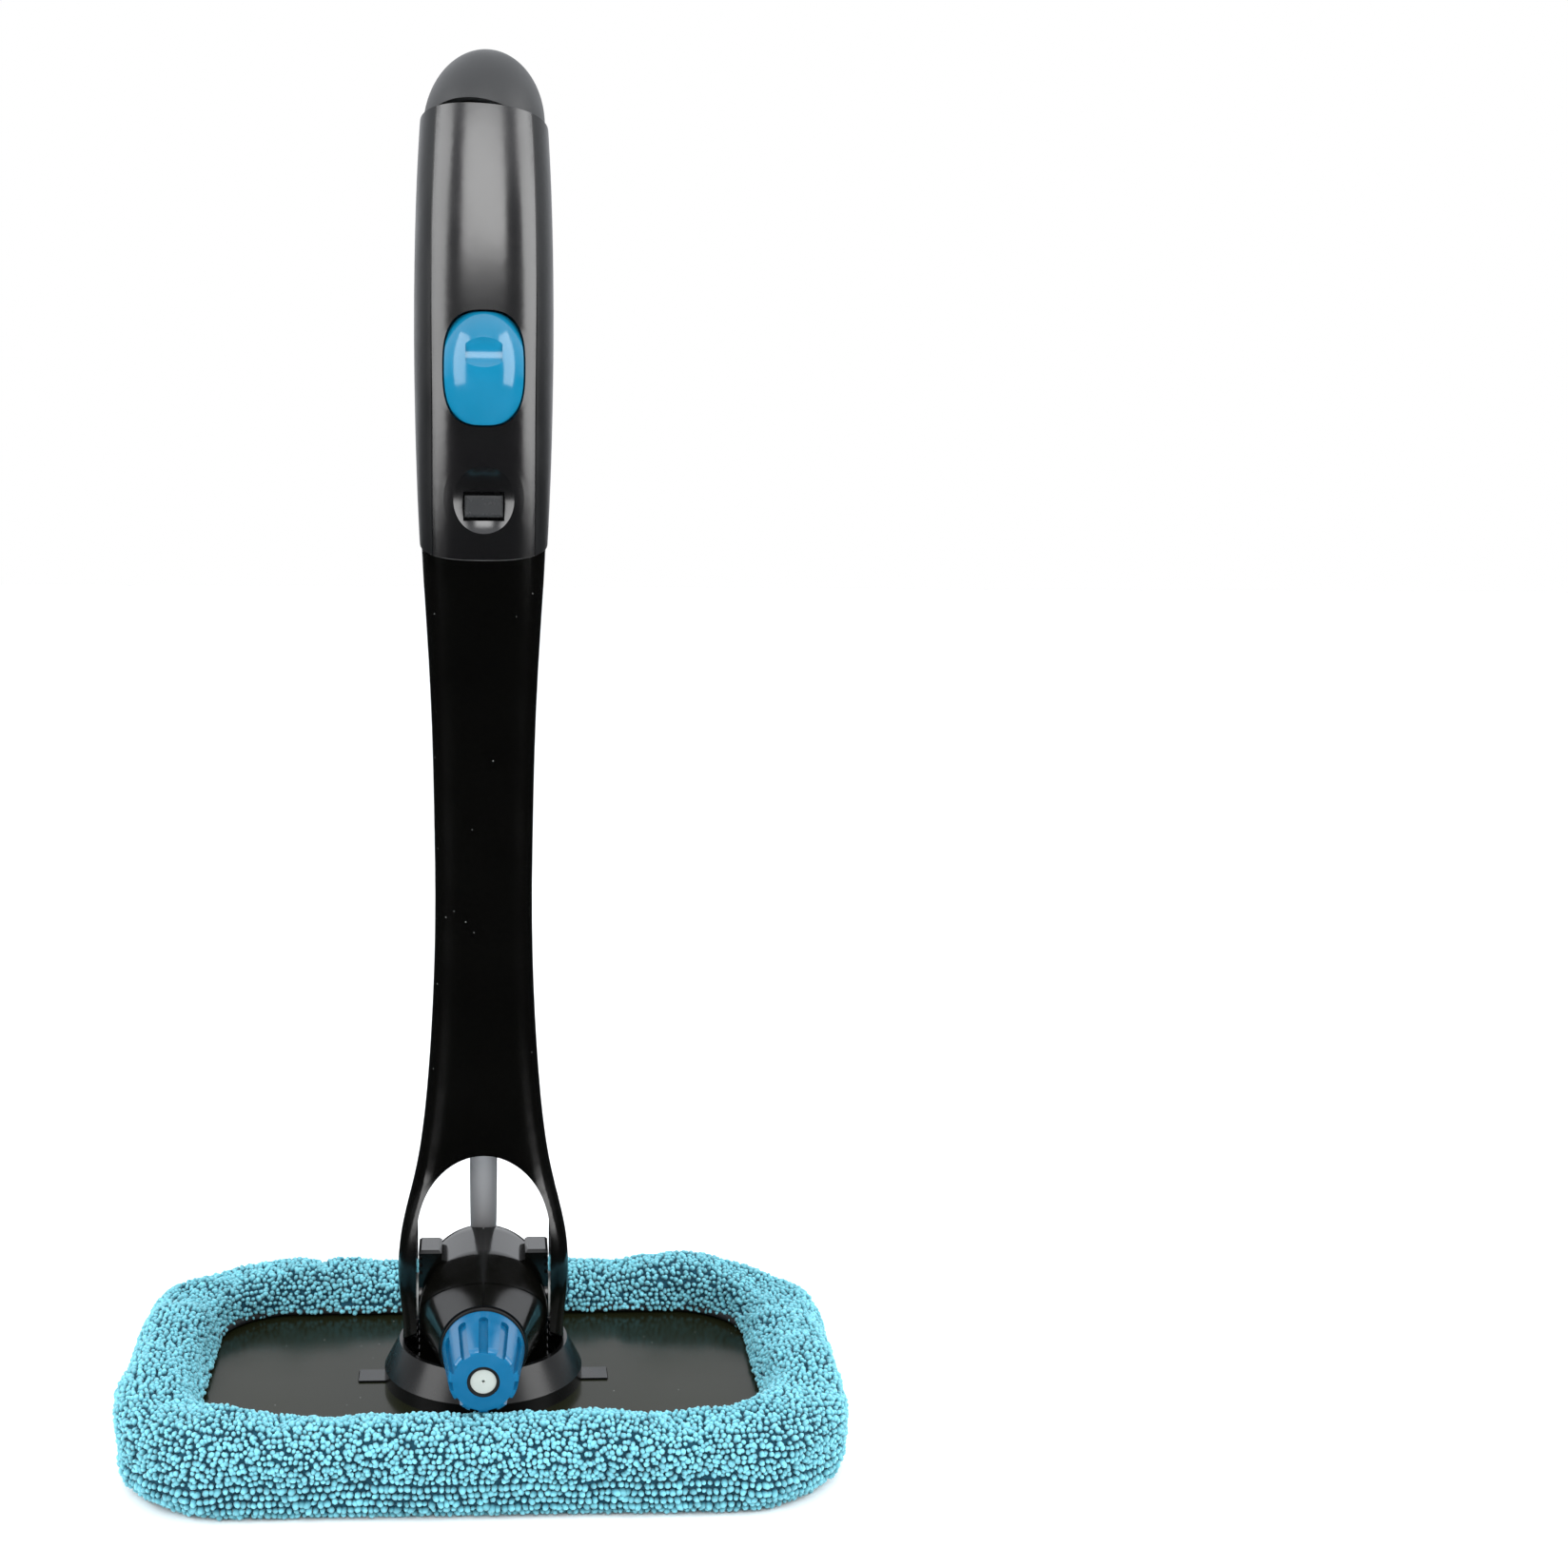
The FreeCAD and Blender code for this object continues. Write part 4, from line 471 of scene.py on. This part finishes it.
SOLE_STEPS, SOLE_MIDDLE = 16, 0.002
FOOT_STEPS, SHOULDER_STEPS, LIP_STEPS = 6, 8, 7
TRAY_PLAY, LIP_TURN_IN, LIP_EDGE, FOAM_EDGE = 0.0004, 0.0012, 0.001, 0.004
LINING_SHARE = 0.72
sole_inset = outer_y - SOLE_MIDDLE
outside = [(sole_inset + (FOOT_ROUND - sole_inset) * i / SOLE_STEPS, floor_z) for i in range(SOLE_STEPS)]
outside += arc(FOOT_ROUND, floor_z + FOOT_ROUND, FOOT_ROUND, -90, 0, FOOT_STEPS)
outside += arc(SHOULDER, crown_z - SHOULDER, SHOULDER, 0, 90, SHOULDER_STEPS)
outside += arc(reach - LIP_ROUND, crown_z - LIP_ROUND, LIP_ROUND, 90, 180, LIP_STEPS)
lip_z = tray_high.z + TRAY_PLAY
tray_inset = outer_x - tray_high.x - TRAY_PLAY
inside = [
    (reach, lip_z + LIP_TURN_IN), (reach - LIP_EDGE, lip_z), (reach * LINING_SHARE, lip_z),
    (tray_inset, lip_z), (tray_inset, foam_low.z + LIP_EDGE),
    (tray_inset + FOAM_EDGE, foam_low.z), (sole_inset, foam_low.z),
]
profile = outside + inside
bonnet_net = bmesh.new()
rings = [[bonnet_net.verts.new(p) for p in rounded_ring(inset, z)] for inset, z in profile]
count = len(rings[0])
for ring, following in zip(rings, rings[1:]):
    for i in range(count):
        j = (i + 1) % count
        bonnet_net.faces.new((ring[i], ring[j], following[j], following[i]))
# The two end rings are closed with rows of four-cornered faces, from right to left.
for ring in (rings[0], rings[-1]):
    right = max(range(count), key=lambda i: (round(ring[i].co.x, 6), -abs(ring[i].co.y)))
    around = ring[right:] + ring[:right]
    upper, lower = around[:count // 2 + 1], [around[0]] + around[count // 2:][::-1]
    bonnet_net.faces.new((upper[0], upper[1], lower[1]))
    for i in range(1, count // 2 - 1):
        bonnet_net.faces.new((upper[i], upper[i + 1], lower[i + 1], lower[i]))
    bonnet_net.faces.new((upper[-2], upper[-1], lower[-2]))
bmesh.ops.recalc_face_normals(bonnet_net, faces=bonnet_net.faces)
bonnet_mesh = bpy.data.meshes.new("bonnet_cloth")
bonnet_net.to_mesh(bonnet_mesh)
bonnet_net.free()
bonnet_cloth = bpy.data.objects.new("bonnet_cloth", bonnet_mesh)
bpy.context.scene.collection.objects.link(bonnet_cloth)

# The cloth is let out by a few percent over its form, so that it buckles as it swells. It
# is held where it rests and inside the bag, and let go over a few millimetres of height.
PUFF_CAP = 0.0022
HELD_HEIGHT, LET_GO_OVER = 0.003, 0.004
SETTLE_FRAMES = 20
held = bonnet_cloth.vertex_groups.new(name="held")
for ring_index, (inset, z) in enumerate(profile):
    rise = min(max((z - floor_z - HELD_HEIGHT) / LET_GO_OVER, 0.0), 1.0)
    hold = 1.0 if ring_index >= len(outside) or rise == 0.0 else 1.0 - rise
    if hold > 0:
        members = range(ring_index * count, (ring_index + 1) * count)
        held.add(list(members), hold, "REPLACE")
cloth = bonnet_cloth.modifiers.new("Cloth", "CLOTH")
cloth.settings.quality = 6
cloth.settings.mass = 0.3
cloth.settings.tension_stiffness = 12
cloth.settings.compression_stiffness = 12
cloth.settings.bending_stiffness = 1.2
cloth.settings.use_pressure = True
cloth.settings.uniform_pressure_force = 3.0
cloth.settings.vertex_group_mass = "held"
cloth.settings.shrink_min = -0.06
cloth.settings.effector_weights.gravity = 0
cloth.collision_settings.use_collision = False
scene = bpy.context.scene
for step in range(1, SETTLE_FRAMES + 1):
    scene.frame_set(step)
swollen = bonnet_cloth.evaluated_get(bpy.context.evaluated_depsgraph_get())
settled = swollen.to_mesh()
moves = [(new.co - old.co) for new, old in zip(settled.vertices, bonnet_mesh.vertices)]
swollen.to_mesh_clear()
bonnet_cloth.modifiers.remove(cloth)
bonnet_cloth.vertex_groups.clear()
scene.frame_set(1)
for vertex, move in zip(bonnet_mesh.vertices, moves):
    if move.length > PUFF_CAP:
        move = move * (PUFF_CAP / move.length)
    vertex.co += move

# Folds and hollows along the roll, about 20 mm long, with dimples of 8 mm over them.
FOLD_SIZE, FOLD_DEPTH = (0.024, 0.020, 0.011), 0.0024
DIMPLE_SIZE, DIMPLE_DEPTH = (0.008, 0.008, 0.006), 0.0008
FLAT_HEIGHT, FOLDS_START_OVER = 0.002, 0.006


def ripple(spot, size, layer):
    """Smooth noise with bumps of the given size. Each layer has its own pattern."""
    return noise.noise(Vector((spot.x / size[0], spot.y / size[1], spot.z / size[2] + layer)))


bonnet_mesh.update()
normals = [v.normal.copy() for v in bonnet_mesh.vertices]
for index, vertex in enumerate(bonnet_mesh.vertices):
    ring_index = index // count
    if ring_index >= len(outside):
        continue
    free = min(max((vertex.co.z - floor_z - FLAT_HEIGHT) / FOLDS_START_OVER, 0.0), 1.0)
    fold = ripple(vertex.co, FOLD_SIZE, 3.0)
    dimple = ripple(vertex.co, DIMPLE_SIZE, 9.0)
    vertex.co += normals[index] * free * (FOLD_DEPTH * fold + DIMPLE_DEPTH * dimple)
    vertex.co.z = max(vertex.co.z, floor_z)
smoother = bonnet_cloth.modifiers.new("Round", "SUBSURF")
smoother.levels = smoother.render_levels = 1
bonnet_mesh.shade_smooth()

# Knitted ground of the cloth: stitches 1.2 mm apart, showing between the loops. Their deep
# teal, darker than the yarn, is painted shade for the shade that falls between the loops.
STITCH_SIZE = 0.0012
ground, tree, place = start_material("microfibre_ground_painted_shade")
stitch = add_node(tree, "ShaderNodeTexVoronoi", {}, {"Vector": place, "Scale": 1 / STITCH_SIZE})
# Painted shade: the ground is far darker than the yarn, for the shade between the loops.
ground_painted_shade = add_node(tree, "ShaderNodeMix", {"data_type": "RGBA"}, {
    "Factor": stitch.outputs["Distance"], 6: linear("02303F"), 7: linear("07495C")})
ground_bump = add_node(tree, "ShaderNodeBump", {}, {
    "Height": stitch.outputs["Distance"], "Distance": 0.0004})
ground_skin = add_node(tree, "ShaderNodeBsdfPrincipled", {}, {
    "Base Color": ground_painted_shade.outputs[2], "Roughness": 0.95, "Normal": ground_bump.outputs["Normal"]})
end_material(tree, ground_skin.outputs["BSDF"])
bonnet_mesh.materials.append(ground)

# Loops of the pile: soft matt yarn, pale at the tip and darker down to a deep turquoise at
# the root, which is painted shade for the shade deep in the pile. Patches about 12 mm across
# differ in tone. Real fibres are finer than the 0.3 mm here.
PATCH_SIZE, FIBRE_SIZE = 0.012, 0.0003
yarn, tree, place = start_material("microfibre_yarn")
tip = add_node(tree, "ShaderNodeAttribute", {"attribute_name": "tip"})
shade = add_node(tree, "ShaderNodeAttribute", {"attribute_name": "shade"})
# Painted shade: each loop darkens from its pale tip down to its root.
root_shade_ramp = add_node(tree, "ShaderNodeMapRange", {"interpolation_type": "SMOOTHSTEP"}, {
    "Value": tip.outputs["Fac"], 1: 0.15, 2: 1.05})
painted_root_shade = add_node(tree, "ShaderNodeMix", {"data_type": "RGBA"}, {
    "Factor": root_shade_ramp.outputs["Result"], 6: linear("054F66"), 7: linear("7AC6D4")})
patch = add_node(tree, "ShaderNodeTexNoise", {}, {"Vector": place, "Scale": 1 / PATCH_SIZE, "Detail": 2.0})
patch_and_loop = add_node(tree, "ShaderNodeMath", {"operation": "MULTIPLY_ADD"}, {
    0: patch.outputs["Fac"], 1: 0.6, 2: shade.outputs["Fac"]})
paler = add_node(tree, "ShaderNodeMapRange", {}, {
    "Value": patch_and_loop.outputs[0], 1: 0.1, 2: 1.4, 3: 0.72, 4: 1.12})
yarn_tint = add_node(tree, "ShaderNodeVectorMath", {"operation": "SCALE"}, {
    0: painted_root_shade.outputs[2], "Scale": paler.outputs["Result"]})
fibres = add_node(tree, "ShaderNodeTexNoise", {}, {"Vector": place, "Scale": 1 / FIBRE_SIZE, "Detail": 2.0})
yarn_bump = add_node(tree, "ShaderNodeBump", {}, {"Height": fibres.outputs["Fac"], "Distance": 0.0001})
yarn_skin = add_node(tree, "ShaderNodeBsdfPrincipled", {}, {
    "Base Color": yarn_tint.outputs[0], "Roughness": 0.9, "Normal": yarn_bump.outputs["Normal"],
    "Sheen Weight": 0.35, "Sheen Roughness": 0.4, "Specular IOR Level": 0.2})
end_material(tree, yarn_skin.outputs["BSDF"])

# One tree plants a loop of yarn on every point, bowed to one side and leaning a little its
# own way. The lean is in radians.
LOOP_SIDES, LOOP_TIERS, LOOP_BOW = 7, 4, 0.25
loops = bpy.data.node_groups.new("yarn_loops", "GeometryNodeTree")
loops.interface.new_socket("Points", in_out="INPUT", socket_type="NodeSocketGeometry")
loop_width = loops.interface.new_socket("Loop width", in_out="INPUT", socket_type="NodeSocketFloat")
loop_height = loops.interface.new_socket("Loop height", in_out="INPUT", socket_type="NodeSocketFloat")
loop_lean = loops.interface.new_socket("Lean", in_out="INPUT", socket_type="NodeSocketFloat")
loop_seed = loops.interface.new_socket("Seed", in_out="INPUT", socket_type="NodeSocketInt")
loop_finish = loops.interface.new_socket("Yarn", in_out="INPUT", socket_type="NodeSocketMaterial")
loops.interface.new_socket("Pile", in_out="OUTPUT", socket_type="NodeSocketGeometry")
given = add_node(loops, "NodeGroupInput")
bead = add_node(loops, "GeometryNodeMeshUVSphere", {}, {
    "Segments": LOOP_SIDES, "Rings": LOOP_TIERS, "Radius": 0.5})
where = add_node(loops, "GeometryNodeInputPosition")
parts = add_node(loops, "ShaderNodeSeparateXYZ", {}, {"Vector": where.outputs[0]})
up = add_node(loops, "ShaderNodeMath", {"operation": "ADD"}, {0: parts.outputs["Z"], 1: 0.5})
marked = add_node(loops, "GeometryNodeStoreNamedAttribute", {"data_type": "FLOAT", "domain": "POINT"}, {
    "Geometry": bead.outputs["Mesh"], "Name": "tip", "Value": up.outputs[0]})
square = add_node(loops, "ShaderNodeMath", {"operation": "MULTIPLY"}, {0: up.outputs[0], 1: up.outputs[0]})
bow = add_node(loops, "ShaderNodeMath", {"operation": "MULTIPLY"}, {0: square.outputs[0], 1: LOOP_BOW})
bow_move = add_node(loops, "ShaderNodeCombineXYZ", {}, {"X": bow.outputs[0]})
bowed = add_node(loops, "GeometryNodeSetPosition", {}, {
    "Geometry": marked.outputs[0], "Offset": bow_move.outputs[0]})
size = add_node(loops, "ShaderNodeCombineXYZ", {}, {
    "X": given.outputs["Loop width"], "Y": given.outputs["Loop width"], "Z": given.outputs["Loop height"]})
shaped = add_node(loops, "GeometryNodeTransform", {}, {
    "Geometry": bowed.outputs[0], "Scale": size.outputs[0]})
outward = add_node(loops, "GeometryNodeInputNamedAttribute", {"data_type": "FLOAT_VECTOR"}, {
    "Name": "outward"})
faced = add_node(loops, "FunctionNodeAlignRotationToVector", {"axis": "Z"}, {
    "Vector": outward.outputs[0]})
lean_low = add_node(loops, "ShaderNodeMath", {"operation": "MULTIPLY"}, {0: given.outputs["Lean"], 1: -1.0})
low_turn = add_node(loops, "ShaderNodeCombineXYZ", {}, {
    "X": lean_low.outputs[0], "Y": lean_low.outputs[0], "Z": 0.0})
high_turn = add_node(loops, "ShaderNodeCombineXYZ", {}, {
    "X": given.outputs["Lean"], "Y": given.outputs["Lean"], "Z": 2 * math.pi})
any_turn = add_node(loops, "FunctionNodeRandomValue", {"data_type": "FLOAT_VECTOR"}, {
    "Min": low_turn.outputs[0], "Max": high_turn.outputs[0], "Seed": given.outputs["Seed"]})
as_turn = add_node(loops, "FunctionNodeEulerToRotation", {}, {0: any_turn.outputs[0]})
turned = add_node(loops, "FunctionNodeRotateRotation", {"rotation_space": "LOCAL"}, {
    0: faced.outputs[0], 1: as_turn.outputs[0]})
swell = add_node(loops, "GeometryNodeInputNamedAttribute", {"data_type": "FLOAT_VECTOR"}, {"Name": "swell"})
planted = add_node(loops, "GeometryNodeInstanceOnPoints", {}, {
    "Points": given.outputs["Points"], "Instance": shaped.outputs[0],
    "Rotation": turned.outputs[0], "Scale": swell.outputs[0]})
joined = add_node(loops, "GeometryNodeRealizeInstances", {}, {"Geometry": planted.outputs[0]})
soft = add_node(loops, "GeometryNodeSetShadeSmooth", {}, {"Geometry": joined.outputs[0]})
finished = add_node(loops, "GeometryNodeSetMaterial", {}, {
    "Geometry": soft.outputs[0], "Material": given.outputs["Yarn"]})
add_node(loops, "NodeGroupOutput", {}, {"Pile": finished.outputs[0]})

# Loops stand in knitted rows: rings round the roll, and straight rows across the sole. On
# the low side of the roll the rows lie further apart and the loops are fuller.
ROW_GAP, LOOP_GAP = 0.00142, 0.00145
LOW_ROW_GAP, LOW_LOOP_GAP, LOW_ROWS_TOP = 0.00235, 0.0018, 0.0105
LOOP_JITTER, LOW_JITTER, SOLE_JITTER = 0.00052, 0.00020, 0.00025
LOW_SWELL = 1.22
LOOP_WIDTH, LOOP_HEIGHT, LOOP_LEAN = 0.00152, 0.0020, 0.35
LOOP_LIFT = 0.0003
depsgraph = bpy.context.evaluated_depsgraph_get()
surface = bvhtree.BVHTree.FromObject(bonnet_cloth, depsgraph)
dice = random.Random(7)
planted_loops = []


def plant(guess, jitter, swell=1.0):
    """Notes one loop where the cloth is nearest to a guessed place."""
    shift = Vector([dice.uniform(-jitter, jitter) for _ in range(3)])
    spot, facing, _, _ = surface.find_nearest(guess + shift)
    full = swell * dice.uniform(0.78, 1.2)
    measures = (full * dice.uniform(0.85, 1.2), full, full * dice.uniform(0.85, 1.1))
    planted_loops.append((spot, facing, measures, dice.random()))


cloth_rings = [[bonnet_mesh.vertices[k * count + i].co.copy() for i in range(count)]
               for k in range(SOLE_STEPS, len(outside) + 1)]
since = ROW_GAP
for ring_a, ring_b in zip(cloth_rings, cloth_rings[1:]):
    run = sum((b - a).length for a, b in zip(ring_a, ring_b)) / count
    while since <= run:
        ring = [a.lerp(b, since / run) for a, b in zip(ring_a, ring_b)]
        is_low = sum(spot.z for spot in ring) / count < LOW_ROWS_TOP
        row_gap, loop_gap = (LOW_ROW_GAP, LOW_LOOP_GAP) if is_low else (ROW_GAP, LOOP_GAP)
        jitter, swell = (LOW_JITTER, LOW_SWELL) if is_low else (LOOP_JITTER, 1.0)
        gap = loop_gap * dice.uniform(0.2, 1.0)
        for a, b in zip(ring, ring[1:] + ring[:1]):
            step = (b - a).length
            while gap <= step:
                plant(a + (b - a) * (gap / step), jitter, swell)
                gap += loop_gap * dice.uniform(0.86, 1.14)
            gap -= step
        since += row_gap
    since -= run
sole_x, sole_y, sole_corner = outer_x - FOOT_ROUND, outer_y - FOOT_ROUND, CORNER - FOOT_ROUND
row_count = int(2 * sole_y / ROW_GAP)
for row in range(row_count + 1):
    y = -sole_y + (row + 0.5) * (2 * sole_y / (row_count + 1))
    into = max(abs(y) - (sole_y - sole_corner), 0.0)
    half = sole_x - sole_corner + math.sqrt(max(sole_corner ** 2 - into ** 2, 0.0))
    column_count = int(2 * half / LOOP_GAP)
    for column in range(column_count + 1):
        x = -half + (column + 0.5) * (2 * half / (column_count + 1))
        plant(Vector((x, y, floor_z)), SOLE_JITTER)

# The pile is split into six objects, so that each stays light: two for the sole, where the
# cloth faces down, and one for each side of the roll.
DOWN, END_Y = -0.9, 0.028
REGIONS = (
    ("pile_sole_left", lambda spot, facing: facing.z < DOWN and spot.x < 0),
    ("pile_sole_right", lambda spot, facing: facing.z < DOWN and spot.x >= 0),
    ("pile_front", lambda spot, facing: facing.z >= DOWN and spot.y < -END_Y),
    ("pile_back", lambda spot, facing: facing.z >= DOWN and spot.y > END_Y),
    ("pile_left", lambda spot, facing: facing.z >= DOWN and abs(spot.y) <= END_Y and spot.x < 0),
    ("pile_right", lambda spot, facing: facing.z >= DOWN and abs(spot.y) <= END_Y and spot.x >= 0),
)
for seed, (name, belongs) in enumerate(REGIONS):
    chosen = [loop for loop in planted_loops if belongs(loop[0], loop[1])]
    seedbed = bpy.data.meshes.new(name)
    seedbed.from_pydata([spot + facing * LOOP_LIFT for spot, facing, measures, shade in chosen], [], [])
    seedbed.attributes.new("outward", "FLOAT_VECTOR", "POINT").data.foreach_set(
        "vector", [part for spot, facing, measures, shade in chosen for part in facing])
    seedbed.attributes.new("swell", "FLOAT_VECTOR", "POINT").data.foreach_set(
        "vector", [part for spot, facing, measures, shade in chosen for part in measures])
    seedbed.attributes.new("shade", "FLOAT", "POINT").data.foreach_set(
        "value", [shade for spot, facing, measures, shade in chosen])
    bed = bpy.data.objects.new(name + "_points", seedbed)
    bpy.context.scene.collection.objects.link(bed)
    planter = bed.modifiers.new("Loops", "NODES")
    planter.node_group = loops
    planter[loop_width.identifier] = LOOP_WIDTH
    planter[loop_height.identifier] = LOOP_HEIGHT
    planter[loop_lean.identifier] = LOOP_LEAN
    planter[loop_seed.identifier] = seed
    planter[loop_finish.identifier] = yarn
    bed.update_tag()
    grown = bed.evaluated_get(bpy.context.evaluated_depsgraph_get())
    pile_mesh = bpy.data.meshes.new_from_object(grown)
    bpy.data.objects.remove(bed)
    pile_mesh.name = name
    for vertex in pile_mesh.vertices:
        vertex.co.z = max(vertex.co.z, 0.0)
    pile = bpy.data.objects.new(name, pile_mesh)
    bpy.context.scene.collection.objects.link(pile)
    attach(pile, "head")
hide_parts("bonnet")
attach(bonnet_cloth, "head")

# Hem elastic. A round rubber cord in a woven black cover, whose slanting threads show as
# faint bands. It lies in the hem's channel and draws the mouth of the bonnet in.
BAND_SIZE = 0.004
elastic, tree, place = start_material("covered_elastic")
cover = add_node(tree, "ShaderNodeTexWave", {"bands_direction": "DIAGONAL"}, {
    "Vector": place, "Scale": 1 / BAND_SIZE})
elastic_tint = add_node(tree, "ShaderNodeMix", {"data_type": "RGBA"}, {
    "Factor": cover.outputs["Fac"], 6: linear("0E0E10"), 7: linear("1E1F22")})
elastic_skin = add_node(tree, "ShaderNodeBsdfPrincipled", {}, {
    "Base Color": elastic_tint.outputs[2], "Roughness": 0.8})
end_material(tree, elastic_skin.outputs["BSDF"])
dress(elastic, "hem_elastic")

# The bounds of everything shown, without the floor.
low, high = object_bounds()
